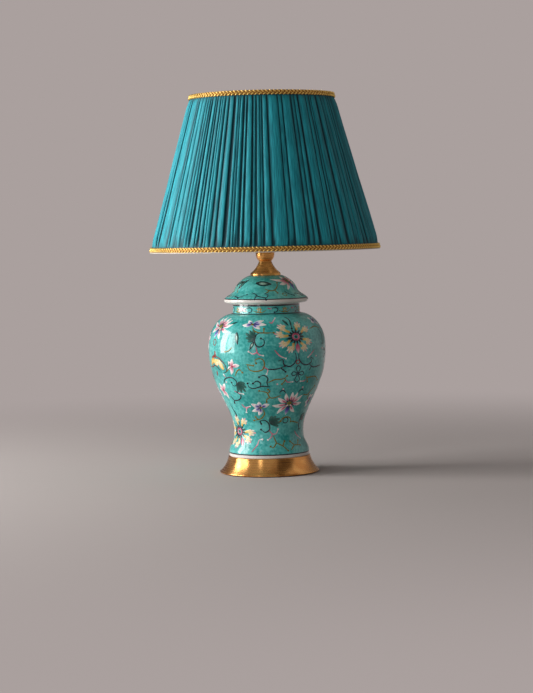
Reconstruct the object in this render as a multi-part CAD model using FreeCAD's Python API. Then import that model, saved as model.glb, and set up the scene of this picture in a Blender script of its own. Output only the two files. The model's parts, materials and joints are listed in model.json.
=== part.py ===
import FreeCAD, Part
import math
import os

# Ginger jar table lamp. Millimetres, +Z up, front towards -Y, cord inlet at the back, towards +Y.
# The origin is the middle of the underside of the felt pad. A hollow threaded rod clamps the whole stack:
# base plate, base skirt, jar, lid, neck bell, neck ball and the cap of the lampholder.

# Base
felt_thickness = 3.0
base_plate_thickness = 1.5
base_plate_dish_rise = 8.5
base_plate_dish_radius = 24.0
base_plate_dish_slope = 10.0
base_plate_draw = 1.05
base_height = 30.2
base_top_radius = 71.4
base_foot_radius = 85.1
base_flare_hollow = 1.89
base_wall = 1.2
base_lip_radius = 1.6
base_lip_lift = 1.1
base_top_roll = 1.6
plate_fit = 0.15
felt_edge_gap = 0.6

# Cord inlet: a moulded bush in the back of the skirt
gland_height = 11.5
gland_bore_radius = 3.2
gland_body_radius = 4.6
gland_collar_radius = 5.8
gland_proud = 5.3
gland_tail = 8.0
gland_fit = 0.05

# Threaded rod and what clamps the stack on it
rod_radius = 5.0
rod_bore_radius = 3.5
rod_overhang = 1.0
rod_top_length = 6.5
rod_hole_fit = 0.2
thread_fit = 0.05
washer_radius = 18.0
washer_thickness = 1.6
base_nut_width = 17.0
base_nut_height = 5.5
top_nut_width = 15.0
top_nut_height = 5.0

# Jar, heights above its own foot
jar_seat_thickness = 0.8
jar_seat_width = 7.0
jar_seat_setback = 1.0
jar_height = 264.4
jar_wall = 5.0
jar_foot_radius = 69.8
jar_foot_band = 6.7
jar_foot_ring_width = 10.5
jar_foot_recess = 4.0
jar_floor_thickness = 6.0
jar_foot_roll = (69.0, 11.6)
jar_ankle = (62.9, 25.0)
jar_waist = (60.0, 40.0)
jar_flank = (83.4, 109.0)
jar_belly = (102.1, 181.0)
jar_shoulder = (93.0, 223.5)
jar_shoulder_top = (78.0, 239.8)
jar_neck_foot = (61.0, 246.6)
jar_neck_radius = 58.2
jar_hole_radius = 8.0
bush_flange_width = 4.0
bush_fit = 0.1

# Lid, heights above its own rim
lid_gasket_thickness = 0.6
lid_gasket_outset = 0.2
lid_gasket_setback = 0.6
lid_height = 47.0
lid_rim_radius = 73.4
lid_rim_inner_radius = 66.0
lid_rim_middle = 4.2
lid_rim_recess = 4.0
lid_rim_recess_draft = 1.0
lid_rim_top = (72.0, 8.3)
lid_rim_bulge = 0.3
lid_land_margin = 0.5
lid_skirt = (63.8, 14.2)
lid_step = (55.8, 21.2)
lid_dome_foot = (51.6, 29.4)
lid_dome = (43.2, 38.8)
lid_top_radius = 28.5
lid_wall = 5.0
lid_flange_depth = 10.0
lid_flange_wall = 4.0
lid_flange_fit = 1.4
lid_hole_radius = 8.0

# Neck
bell_height = 25.0
bell_lip_radius = 26.5
bell_lip_height = 4.6
bell_lip_edge = 0.5
bell_lip_setback = 1.4
bell_waist_radius = 11.2
bell_waist_band = 1.4
bell_waist_edge = 0.5
bell_middle = (17.6, 12.3)
bell_wall = 1.6
bell_land = 2.4
ball_radius = 16.2
ball_land_height = 12.0
ball_wall = 1.6

# Lampholder, E27
holder_neck_radius = 8.6
holder_neck_height = 4.5
holder_cap_radius = 20.8
holder_cap_height = 20.0
holder_cap_shoulder = 13.0
holder_cap_dome = (15.83, 8.07)
holder_cap_dome_inside = (14.43, 9.77)
holder_cap_floor = 2.16
holder_edge = 0.8
holder_wall = 1.8
holder_step_height = 1.4
holder_skirt_radius = 19.8
holder_skirt_height = 30.0
holder_overlap = 6.0
lock_screw_radius = 1.5
lock_screw_setback = 0.4
insert_height = 9.0
insert_fit = 0.2
insert_boss_radius = 13.0
insert_boss_height = 3.0
terminal_radius = 2.2
terminal_offset = 9.5
terminal_length = 4.0
screw_shell_radius = 14.1
screw_shell_wall = 0.6
screw_shell_height = 25.0
screw_shell_lap = 4.0
contact_width = 5.0
contact_thickness = 0.6
contact_rise = 4.0
contact_heel = 8.0
contact_bend = 3.6
contact_crest = 1.2
contact_toe = 4.0
contact_lag = 0.8

# Shade rings on the threaded skirt of the lampholder
shade_ring_radius = 26.5
shade_ring_thickness = 4.0
shade_ring_notches = 12
shade_ring_notch_radius = 1.2
upper_ring_thickness = 6.0
turning_gap = 0.1

# Bulb, E27 cap and an A60 envelope
bulb_radius = 30.0
bulb_length = 104.0
bulb_cap_radius = 13.1
bulb_cap_height = 20.0
bulb_cap_wall = 0.5
bulb_glass_wall = 0.8
bulb_cap_floor_width = 3.0
bulb_neck_fit = 0.1
bulb_neck_depth = 5.0
bulb_neck_swell = (1.6, 13.2)
bulb_flank = (25.8, 18.0)
bulb_insulator_height = 4.5
bulb_insulator_radius = 4.5
bulb_tip_radius = 3.4
bulb_tip_height = 1.2
bulb_seat_gap = 0.3

# Shade: the outer faces of its hems lie on one cone, and the layers are counted inwards from it
shade_height = 270.0
hem_bottom_radius = 198.1
hem_top_radius = 122.3
braid_height = 9.3
braid_thickness = 3.3
braid_gap = 0.1
braid_edge_radius = 1.2
cover_thickness = 0.9
cover_inset = 0.5
gather_count = 84
gather_depth_bottom = 2.0
gather_depth_top = 1.4
gather_lift = 0.2
gather_gap = 0.3
ring_wire_radius = 1.6
strut_wire_radius = 1.3
strut_count = 6
frame_gap = 0.2
lining_thickness = 0.7
lining_gap = 0.3
lining_lift = 9.5
lining_top_inset = 1.5
fitter_bore_radius = 21.0
fitter_outer_radius = 30.0
fitter_thickness = 2.0
spider_drop = 36.0
spider_arm_count = 3
spider_wire_radius = 1.7
spider_arm_drop = 0.3
spider_lap = 1.0
weld_lap = 0.1

# Heights of the stack
plate_z = felt_thickness
dish_z = plate_z + base_plate_dish_rise
rod_bottom_z = dish_z - washer_thickness - base_nut_height - rod_overhang
jar_z = base_height + jar_seat_thickness
jar_floor_z = jar_z + jar_foot_recess
jar_floor_top_z = jar_floor_z + jar_floor_thickness
jar_top_z = jar_z + jar_height
lid_z = jar_top_z + lid_gasket_thickness
lid_top_z = lid_z + lid_height
bell_top_z = lid_top_z + bell_height
ball_z = bell_top_z + ball_land_height
top_nut_z = ball_z + ball_land_height
holder_z = top_nut_z + top_nut_height
rod_top_z = holder_z + rod_top_length
holder_cap_top_z = holder_z + holder_cap_height
step_z = holder_cap_top_z + holder_step_height
skirt_top_z = step_z + holder_skirt_height
lower_ring_top_z = step_z + shade_ring_thickness
fitter_z = lower_ring_top_z + turning_gap
upper_ring_z = fitter_z + fitter_thickness + turning_gap
insert_z = holder_cap_top_z - holder_overlap
shell_z = insert_z + insert_height
contact_top_z = shell_z + contact_rise
bulb_z = contact_top_z + contact_thickness + bulb_seat_gap
shade_z = fitter_z - spider_drop
shade_top_z = shade_z + shade_height
rod_hole_radius = rod_radius + rod_hole_fit
AXIS_POINT = FreeCAD.Vector(0, 0, 0)
AXIS = FreeCAD.Vector(0, 0, 1)
CORNER = 1 - math.sqrt(0.5)  # how far the middle of a round corner lies from its square corner, in radii


def at(radius, height):
    """A point of a half section, in the XZ plane."""
    return FreeCAD.Vector(radius, 0, height)


def raised(outline, height):
    """The points of an outline, lifted by a height."""
    return [(radius, z + height) for radius, z in outline]


def smooth(points):
    """A smooth curve through points of a half section."""
    curve = Part.BSplineCurve()
    curve.interpolate([at(*p) for p in points])
    return curve


def inset(points, distance):
    """The same smooth curve moved towards the axis, square to itself."""
    curve = smooth(points)
    moved = []
    for p in points:
        tangent = curve.tangent(curve.parameter(at(*p)))[0]
        moved.append((p[0] - distance * tangent.z, p[1] + distance * tangent.x))
    return moved


def section(start, *steps):
    """Closed half section. A step is a point for a straight line, a list of two points for an arc through the
    first to the second, or a longer list for a smooth curve through all of them."""
    edges = []
    here = start
    for step in steps + (start,):
        if isinstance(step, tuple):
            if at(*here).distanceToPoint(at(*step)) > 1e-6:
                edges.append(Part.LineSegment(at(*here), at(*step)).toShape())
            here = step
        elif len(step) == 2:
            edges.append(Part.Arc(at(*here), at(*step[0]), at(*step[1])).toShape())
            here = step[1]
        else:
            edges.append(smooth([here] + step).toShape())
            here = step[-1]
    return Part.Face(Part.Wire(edges))


def turned(start, *steps):
    """Solid of revolution about the lamp's axis."""
    return section(start, *steps).revolve(AXIS_POINT, AXIS, 360)


def pipe(outer, inner, bottom, top):
    """Straight tube, disc or washer on the lamp's axis."""
    return turned((inner, bottom), (outer, bottom), (outer, top), (inner, top))


def rod_between(start, end, radius):
    """Round bar from one point to another."""
    along = end.sub(start)
    return Part.makeCylinder(radius, along.Length, start, along)


def around(shape, count, first_angle=0.0):
    """Copies of a shape, evenly spaced about the lamp's axis."""
    copies = []
    for index in range(count):
        copy = shape.copy()
        copy.rotate(AXIS_POINT, AXIS, first_angle + 360.0 * index / count)
        copies.append(copy)
    return copies


def hex_nut(width, bottom, height):
    """Hexagon nut on the rod."""
    corner = width / math.sqrt(3)
    corners = []
    for index in range(7):
        angle = math.radians(60 * index)
        corners.append(FreeCAD.Vector(corner * math.cos(angle), corner * math.sin(angle), bottom))
    blank = Part.Face(Part.makePolygon(corners)).extrude(FreeCAD.Vector(0, 0, height))
    return blank.cut(Part.makeCylinder(rod_radius + thread_fit, height, FreeCAD.Vector(0, 0, bottom)))


# Base


def flare_heights():
    """Heights of the foot, the middle and the top of the concave flare."""
    foot = base_lip_lift + 2 * base_lip_radius
    top = base_height - base_top_roll
    return foot, (foot + top) / 2, top


def flare_radius(offset, height):
    """Radius of the flare at a height, moved in by an offset. The flare is an arc that lies hollow by
    base_flare_hollow from the straight line between its ends, and its centre is outside the skirt."""
    foot, middle, top = flare_heights()
    run = base_foot_radius - base_top_radius
    rise = top - foot
    chord = math.hypot(run, rise)
    radius = (chord ** 2 / 4 + base_flare_hollow ** 2) / (2 * base_flare_hollow)
    reach = radius - base_flare_hollow
    centre_radius = (base_foot_radius + base_top_radius) / 2 + reach * rise / chord
    centre_height = middle + reach * run / chord
    return centre_radius - math.sqrt((radius + offset) ** 2 - (height - centre_height) ** 2)


def flare(offset):
    """Foot, middle and top of the flare, moved in by an offset."""
    return [(flare_radius(offset, height), height) for height in flare_heights()]


def make_skirt_blank():
    """Outside of the skirt as a full solid, used to seat the cord inlet on it."""
    foot, middle, top = flare(0)
    return turned((0, foot[1]), foot, [middle, top], (0, top[1]))


def make_base_skirt():
    """Spun brass skirt: closed top, rolled top edge, concave flare and a curled lip at the foot."""
    foot, middle, top = flare(0)
    inner_foot, inner_middle, inner_top = flare(base_wall)
    lip_z = base_lip_lift + base_lip_radius
    lip_outer = (base_foot_radius + base_lip_radius, lip_z)
    lip_bottom = (base_foot_radius, base_lip_lift)
    lip_inner = (inner_foot[0], lip_z)
    curl = CORNER * (base_foot_radius - lip_inner[0])
    roll = CORNER * base_top_roll
    skirt = turned(
        (rod_hole_radius, base_height),
        (base_top_radius - base_top_roll, base_height),
        [(base_top_radius - roll, base_height - roll), top],
        [middle, foot],
        [lip_outer, lip_bottom],
        [(lip_inner[0] + curl, base_lip_lift + curl), lip_inner],
        inner_foot,
        [inner_middle, inner_top],
        (base_top_radius - base_top_roll - base_wall, base_height - base_wall),
        (rod_hole_radius, base_height - base_wall),
    )
    hole = Part.makeCylinder(gland_body_radius + gland_fit, base_foot_radius,
                             FreeCAD.Vector(0, 0, gland_height), FreeCAD.Vector(0, 1, 0))
    return skirt.cut(hole)


def make_cord_gland():
    """Bush for the cord: its collar is shaped to the flare, and its outer face is square to the cord."""
    back = FreeCAD.Vector(0, 1, 0)
    tail = flare_radius(base_wall, gland_height) - gland_tail
    start = FreeCAD.Vector(0, tail, gland_height)
    length = flare_radius(0, gland_height) + gland_proud - tail
    collar = Part.makeCylinder(gland_collar_radius, length, start, back).cut(make_skirt_blank())
    body = Part.makeCylinder(gland_body_radius, length, start, back)
    bore = Part.makeCylinder(gland_bore_radius, length, start, back)
    return collar.fuse(body).removeSplitter().cut(bore)


def make_base_plate():
    """Pressed steel plate: its rim bears on the narrowing flare, and its raised middle hides the nut."""
    rim_radius = flare_radius(base_wall, plate_z + base_plate_thickness) - plate_fit
    slope_radius = base_plate_dish_radius + base_plate_dish_slope
    return turned(
        (rod_hole_radius, dish_z),
        (base_plate_dish_radius - base_plate_draw, dish_z),
        (slope_radius - base_plate_draw, plate_z),
        (rim_radius, plate_z),
        (rim_radius, plate_z + base_plate_thickness),
        (slope_radius, plate_z + base_plate_thickness),
        (base_plate_dish_radius, dish_z + base_plate_thickness),
        (rod_hole_radius, dish_z + base_plate_thickness),
    )


def make_felt_pad():
    """Felt disc glued under the plate. It stands proud of the lip and carries the lamp."""
    radius = flare(base_wall)[0][0] - felt_edge_gap
    return turned((0, 0), (radius, 0), (radius, felt_thickness), (0, felt_thickness))


def make_rod():
    """Hollow threaded rod. The cord passes up its bore."""
    return pipe(rod_radius, rod_bore_radius, rod_bottom_z, rod_top_z)


# Jar and lid


def jar_profile():
    """Outside of the jar from the top of its foot band to the foot of its neck."""
    shape = [(jar_foot_radius, jar_foot_band), jar_foot_roll, jar_ankle, jar_waist, jar_flank, jar_belly,
             jar_shoulder, jar_shoulder_top, jar_neck_foot]
    return raised(shape, jar_z)


def make_jar():
    """Thrown porcelain jar with a foot ring, a drilled floor and a straight neck."""
    outside = jar_profile()
    inside = inset(outside, jar_wall)
    foot_inner = jar_foot_radius - jar_foot_ring_width
    fillet = outside[-1][0] - jar_neck_radius
    neck_z = outside[-1][1] + fillet
    neck_inner = jar_neck_radius - jar_wall
    floor_corner = (inside[2][0] - jar_wall, jar_floor_top_z)
    return turned(
        (jar_hole_radius, jar_floor_z),
        (foot_inner, jar_floor_z),
        (foot_inner, jar_z),
        (jar_foot_radius, jar_z),
        outside[0],
        outside[1:],
        [(jar_neck_radius + CORNER * fillet, outside[-1][1] + CORNER * fillet), (jar_neck_radius, neck_z)],
        (jar_neck_radius, jar_top_z),
        (neck_inner, jar_top_z),
        (neck_inner, neck_z - jar_wall),
        (inside[-2][0], inside[-2][1]),
        inside[-3:1:-1],
        floor_corner,
        (jar_hole_radius, jar_floor_top_z),
    )


def make_jar_seat():
    """Rubber ring between the skirt and the foot ring of the jar."""
    outer = jar_foot_radius - jar_seat_setback
    return pipe(outer, outer - jar_seat_width, base_height, jar_z)


def make_bush(hole_radius, flange_z, hole_z, hole_top_z):
    """Centring bush: a flange that bears on the pottery and a spigot in its hole."""
    spigot = hole_radius - bush_fit
    return turned(
        (rod_hole_radius, flange_z),
        (hole_radius + bush_flange_width, flange_z),
        (hole_radius + bush_flange_width, hole_z),
        (spigot, hole_z),
        (spigot, hole_top_z),
        (rod_hole_radius, hole_top_z),
    )


def lid_profile():
    """Outside of the lid from the edge of its top land down to its rim."""
    shape = [(lid_top_radius, lid_height), lid_dome, lid_dome_foot, lid_step, lid_skirt, lid_rim_top]
    return raised(shape, lid_z)


def make_lid():
    """Domed lid: rounded rim, flange that drops into the jar's neck, hole for the rod."""
    outside = lid_profile()
    inside = inset(outside, -lid_wall)
    flange_outer = jar_neck_radius - jar_wall - lid_flange_fit
    flange_inner = flange_outer - lid_flange_wall
    land = jar_neck_radius + lid_land_margin
    rim_middle = (lid_rim_radius, lid_z + lid_rim_middle)
    rim_turn = (lid_rim_radius - CORNER * (lid_rim_radius - lid_rim_inner_radius),
                lid_z + CORNER * lid_rim_middle)
    rim_shoulder = ((lid_rim_radius + lid_rim_top[0]) / 2 + lid_rim_bulge,
                    lid_z + (lid_rim_middle + lid_rim_top[1]) / 2)
    return turned(
        (lid_hole_radius, lid_top_z),
        outside[0],
        outside[1:],
        [rim_shoulder, rim_middle],
        [rim_turn, (lid_rim_inner_radius, lid_z)],
        (lid_rim_inner_radius - lid_rim_recess_draft, lid_z + lid_rim_recess),
        (land + lid_rim_recess_draft, lid_z + lid_rim_recess),
        (land, lid_z),
        (flange_outer, lid_z),
        (flange_outer, lid_z - lid_flange_depth),
        (flange_inner, lid_z - lid_flange_depth),
        (flange_inner, inside[2][1] - lid_wall),
        [inside[2], inside[1], (lid_top_radius - lid_wall, lid_top_z - lid_wall)],
        (lid_hole_radius, lid_top_z - lid_wall),
    )


def make_lid_gasket():
    """Soft ring between the lip of the jar and the lid."""
    inner = jar_neck_radius - jar_wall + lid_gasket_outset
    return pipe(jar_neck_radius - lid_gasket_setback, inner, jar_top_z, lid_z)


# Neck


def make_neck_bell():
    """Spun brass bell that covers the middle of the lid."""
    lip = (bell_lip_radius - bell_lip_setback, lid_top_z + bell_lip_height + bell_lip_edge)
    middle = (bell_middle[0], lid_top_z + bell_middle[1])
    waist = (bell_waist_radius, bell_top_z - bell_waist_band)
    inner_waist = bell_waist_radius - bell_wall
    inner_lip = bell_lip_radius - bell_lip_edge - bell_wall
    inner_middle = (middle[0] - bell_wall, middle[1] - bell_wall)
    return turned(
        (rod_hole_radius, bell_top_z),
        (bell_waist_radius - bell_waist_edge, bell_top_z),
        waist,
        [middle, lip],
        [(bell_lip_radius, lid_top_z + bell_lip_height / 2), (bell_lip_radius - bell_lip_edge, lid_top_z)],
        (inner_lip, lid_top_z),
        (inner_lip, lid_top_z + bell_lip_height - bell_wall),
        [inner_middle, (inner_waist, bell_top_z - bell_land)],
        (rod_hole_radius, bell_top_z - bell_land),
    )


def make_neck_ball():
    """Hollow brass ball with flat lands where it is clamped."""
    land = math.sqrt(ball_radius ** 2 - ball_land_height ** 2)
    inner = ball_radius - ball_wall
    inner_height = ball_land_height - ball_wall
    inner_land = math.sqrt(inner ** 2 - inner_height ** 2)
    return turned(
        (rod_hole_radius, ball_z - ball_land_height),
        (land, ball_z - ball_land_height),
        [(ball_radius, ball_z), (land, ball_z + ball_land_height)],
        (rod_hole_radius, ball_z + ball_land_height),
        (rod_hole_radius, ball_z + inner_height),
        (inner_land, ball_z + inner_height),
        [(inner, ball_z), (inner_land, ball_z - inner_height)],
        (rod_hole_radius, ball_z - inner_height),
    )


# Lampholder


def make_holder_cap():
    """Cap of the lampholder: neck threaded on the rod, domed shoulder and straight rim."""
    shoulder_z = holder_z + holder_cap_shoulder
    neck_top = holder_z + holder_neck_height
    inner = holder_cap_radius - holder_wall
    bore = rod_radius + thread_fit
    cap = turned(
        (bore, holder_z),
        (holder_neck_radius, holder_z),
        (holder_neck_radius, neck_top),
        [(holder_cap_dome[0], holder_z + holder_cap_dome[1]), (holder_cap_radius, shoulder_z)],
        (holder_cap_radius, holder_cap_top_z),
        (inner, holder_cap_top_z),
        (inner, shoulder_z),
        [(holder_cap_dome_inside[0], holder_z + holder_cap_dome_inside[1]),
         (holder_neck_radius, neck_top + holder_cap_floor)],
        (bore, neck_top + holder_cap_floor),
    )
    screw_hole = Part.makeCylinder(lock_screw_radius + thread_fit, holder_neck_radius,
                                   FreeCAD.Vector(0, 0, holder_z + holder_neck_height / 2),
                                   FreeCAD.Vector(0, 1, 0))
    return cap.cut(screw_hole)


def make_lock_screw():
    """Grub screw that locks the cap on the rod."""
    start = FreeCAD.Vector(0, rod_radius + thread_fit, holder_z + holder_neck_height / 2)
    return Part.makeCylinder(lock_screw_radius, holder_neck_radius - rod_radius - lock_screw_setback, start,
                             FreeCAD.Vector(0, 1, 0))


def make_holder_body():
    """Outer shell of the lampholder: spigot in the cap, step on its rim, skirt for the shade rings."""
    inner = holder_skirt_radius - holder_wall
    spigot = holder_cap_radius - holder_wall - thread_fit
    return turned(
        (inner, holder_cap_top_z - holder_overlap),
        (spigot, holder_cap_top_z - holder_overlap),
        (spigot, holder_cap_top_z),
        (holder_cap_radius, holder_cap_top_z),
        (holder_cap_radius, step_z),
        (holder_skirt_radius, step_z),
        (holder_skirt_radius, skirt_top_z - holder_edge),
        (holder_skirt_radius - holder_edge, skirt_top_z),
        (inner, skirt_top_z),
    )


def make_holder_insert():
    """Insulating core: it carries the screw shell on a boss and has a pocket for each terminal."""
    radius = holder_skirt_radius - holder_wall - insert_fit
    base_top = shell_z - insert_boss_height
    core = turned((0, insert_z), (radius, insert_z), (radius, base_top), (insert_boss_radius, base_top),
                  (insert_boss_radius, shell_z), (0, shell_z))
    pocket = Part.makeCylinder(terminal_radius + thread_fit, terminal_length,
                               FreeCAD.Vector(terminal_offset, 0, insert_z))
    for cut in around(pocket, 2):
        core = core.cut(cut)
    return core


def make_terminal_screws():
    """Two terminal screws in the underside of the core."""
    shank = Part.makeCylinder(terminal_radius, terminal_length, FreeCAD.Vector(terminal_offset, 0, insert_z))
    return Part.makeCompound(around(shank, 2))


def make_screw_shell():
    """Metal shell that takes the cap of the bulb."""
    inner = screw_shell_radius - screw_shell_wall
    window = insert_boss_radius - screw_shell_lap
    return turned(
        (window, shell_z),
        (screw_shell_radius, shell_z),
        (screw_shell_radius, shell_z + screw_shell_height),
        (inner, shell_z + screw_shell_height),
        (inner, shell_z + screw_shell_wall),
        (window, shell_z + screw_shell_wall),
    )


def make_centre_contact():
    """Springy tongue under the tip of the bulb."""
    top = contact_top_z + contact_thickness
    tongue = [(-contact_heel, shell_z), (-contact_bend, shell_z), (-contact_crest, contact_top_z),
              (contact_toe, contact_top_z), (contact_toe, top), (-contact_crest - contact_lag, top),
              (-contact_bend - contact_lag, shell_z + contact_thickness),
              (-contact_heel, shell_z + contact_thickness), (-contact_heel, shell_z)]
    face = Part.Face(Part.makePolygon([at(*p) for p in tongue]))
    face.translate(FreeCAD.Vector(0, -contact_width / 2, 0))
    return face.extrude(FreeCAD.Vector(0, contact_width, 0))


def make_shade_ring(bottom, thickness):
    """Round nut for the shade, with finger notches in its edge."""
    ring = pipe(shade_ring_radius, holder_skirt_radius + thread_fit, bottom, bottom + thickness)
    notch = Part.makeCylinder(shade_ring_notch_radius, thickness,
                              FreeCAD.Vector(shade_ring_radius, 0, bottom))
    for cut in around(notch, shade_ring_notches):
        ring = ring.cut(cut)
    return ring


# Bulb


def make_bulb_tip():
    """Contact at the foot of the bulb."""
    return pipe(bulb_tip_radius, 0, bulb_z, bulb_z + bulb_tip_height)


def make_bulb_insulator():
    """Glass cone between the tip and the screw cap."""
    bottom = bulb_z + bulb_tip_height
    top = bottom + bulb_insulator_height
    shoulder = bulb_cap_radius - bulb_cap_wall - bulb_neck_fit
    return turned((0, bottom), (bulb_insulator_radius, bottom), (shoulder, top), (0, top))


def make_bulb_cap():
    """Screw cap of the bulb."""
    bottom = bulb_z + bulb_tip_height + bulb_insulator_height
    inner = bulb_cap_radius - bulb_cap_wall
    return turned(
        (inner - bulb_cap_floor_width, bottom),
        (bulb_cap_radius, bottom),
        (bulb_cap_radius, bottom + bulb_cap_height),
        (inner, bottom + bulb_cap_height),
        (inner, bottom + bulb_cap_wall),
        (inner - bulb_cap_floor_width, bottom + bulb_cap_wall),
    )


def make_bulb_glass():
    """Pear shaped envelope whose open neck stands in the screw cap."""
    cap_top = bulb_z + bulb_tip_height + bulb_insulator_height + bulb_cap_height
    neck = bulb_cap_radius - bulb_cap_wall - bulb_neck_fit
    neck_z = cap_top - bulb_neck_depth
    centre_z = bulb_z + bulb_length - bulb_radius
    top = centre_z + bulb_radius
    inner = bulb_radius - bulb_glass_wall
    swell = (neck + bulb_neck_swell[0], cap_top + bulb_neck_swell[1])
    flank = (bulb_flank[0], centre_z - bulb_flank[1])
    slant = math.sqrt(0.5)
    return turned(
        (neck - bulb_glass_wall, neck_z),
        (neck, neck_z),
        (neck, cap_top),
        [swell, flank, (bulb_radius, centre_z)],
        [(slant * bulb_radius, centre_z + slant * bulb_radius), (0, top)],
        (0, top - bulb_glass_wall),
        [(slant * inner, centre_z + slant * inner), (inner, centre_z)],
        [(flank[0] - bulb_glass_wall, flank[1]), (swell[0] - bulb_glass_wall, swell[1]),
         (neck - bulb_glass_wall, cap_top)],
    )


# Shade


def hem_radius(height, depth=0.0):
    """Radius of the shade's cone at a height, counted inwards by a depth."""
    share = (height - shade_z) / shade_height
    return hem_bottom_radius + (hem_top_radius - hem_bottom_radius) * share - depth


def cone_band(depth, thickness, bottom, top):
    """Part of the cone between two heights, as a sheet of a thickness."""
    return turned(
        (hem_radius(bottom, depth), bottom),
        (hem_radius(top, depth), top),
        (hem_radius(top, depth + thickness), top),
        (hem_radius(bottom, depth + thickness), bottom),
    )


def gather_angles():
    """Where the valleys between the gathers lie, in radians. Their widths vary as hand gathering does."""
    widths = []
    for index in range(gather_count):
        widths.append(1.0 + 0.34 * math.sin(2.4 * index) + 0.22 * math.sin(5.3 * index + 1.0))
    angles = [0.0]
    for width in widths:
        angles.append(angles[-1] + 2 * math.pi * width / sum(widths))
    return angles


def gathered_outline(height, depth):
    """Closed outline of the gathers at one height: one arc to each fold, from valley to valley."""
    valley = hem_radius(height) + gather_lift
    angles = gather_angles()
    widest = max(b - a for a, b in zip(angles, angles[1:]))
    edges = []
    for a, b in zip(angles, angles[1:]):
        ridge = valley + depth * math.sqrt((b - a) / widest)
        corners = []
        for angle, radius in ((a, valley), ((a + b) / 2, ridge), (b, valley)):
            corners.append(FreeCAD.Vector(radius * math.cos(angle), radius * math.sin(angle), height))
        edges.append(Part.Arc(*corners).toShape())
    return Part.Wire(edges)


def make_shade_cover():
    """Gathered cloth: every fold runs from hem to hem, and the hems lie flat on the wire rings."""
    bottom = shade_z + cover_inset
    top = shade_top_z - cover_inset
    low = shade_z + braid_height + gather_gap
    high = shade_top_z - braid_height - gather_gap
    low_outline = gathered_outline(low, gather_depth_bottom)
    high_outline = gathered_outline(high, gather_depth_top)
    folds = Part.makeLoft([low_outline, high_outline], True, True)
    hems = turned((0, bottom), (hem_radius(bottom), bottom), (hem_radius(top), top), (0, top))
    core = turned((0, bottom - 1), (hem_radius(bottom - 1, cover_thickness), bottom - 1),
                  (hem_radius(top + 1, cover_thickness), top + 1), (0, top + 1))
    return folds.fuse(hems).cut(core)


def make_braid(bottom):
    """Band of braid with rounded edges, laid on a hem."""
    top = bottom + braid_height
    middle = bottom + braid_height / 2
    outward = braid_gap + braid_thickness
    shoulder = outward - braid_edge_radius
    return turned(
        (hem_radius(bottom) + braid_gap, bottom),
        (hem_radius(bottom) + shoulder, bottom),
        [(hem_radius(middle) + outward, middle), (hem_radius(top) + shoulder, top)],
        (hem_radius(top) + braid_gap, top),
    )


def ring_centre(height):
    """Radius of a wire ring's middle line where it lies inside the cover."""
    return hem_radius(height, cover_thickness + frame_gap + ring_wire_radius)


def make_wire_ring(height):
    """Welded wire ring of the frame."""
    return Part.makeTorus(ring_centre(height), ring_wire_radius, FreeCAD.Vector(0, 0, height), AXIS)


def ring_heights():
    """Heights of the bottom and top wire rings, behind the middles of the braids."""
    return shade_z + braid_height / 2, shade_top_z - braid_height / 2


def make_struts():
    """Straight wires between the rings, along the cone."""
    low, high = ring_heights()
    depth = cover_thickness + frame_gap + ring_wire_radius
    start = low + ring_wire_radius
    end = high - ring_wire_radius
    foot = at(hem_radius(start, depth), start)
    head = at(hem_radius(end, depth), end)
    strut = rod_between(foot, head, strut_wire_radius)
    return Part.makeCompound(around(strut, strut_count, 30.0))


def make_spider():
    """Fitter ring and the arms that carry it from the bottom wire ring. One arm points to the back, and each
    is welded to the rim of the ring below its upper face, so the clamp ring bears on the flat face alone."""
    low = ring_heights()[0]
    arm_z = fitter_z + fitter_thickness - spider_arm_drop - spider_wire_radius
    ring = pipe(fitter_outer_radius, fitter_bore_radius, fitter_z, fitter_z + fitter_thickness)
    weld = ring_centre(low) - ring_wire_radius + weld_lap
    arm = rod_between(at(fitter_outer_radius - spider_lap, arm_z), at(weld, low), spider_wire_radius)
    for piece in around(arm, spider_arm_count, 90.0):
        ring = ring.fuse(piece)
    return ring


def make_lining():
    """Lining sheet inside the struts, cut clear of the spider's arms."""
    depth = cover_thickness + frame_gap + 2 * ring_wire_radius + lining_gap
    return cone_band(depth, lining_thickness, shade_z + lining_lift, shade_top_z - lining_top_inset)


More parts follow.
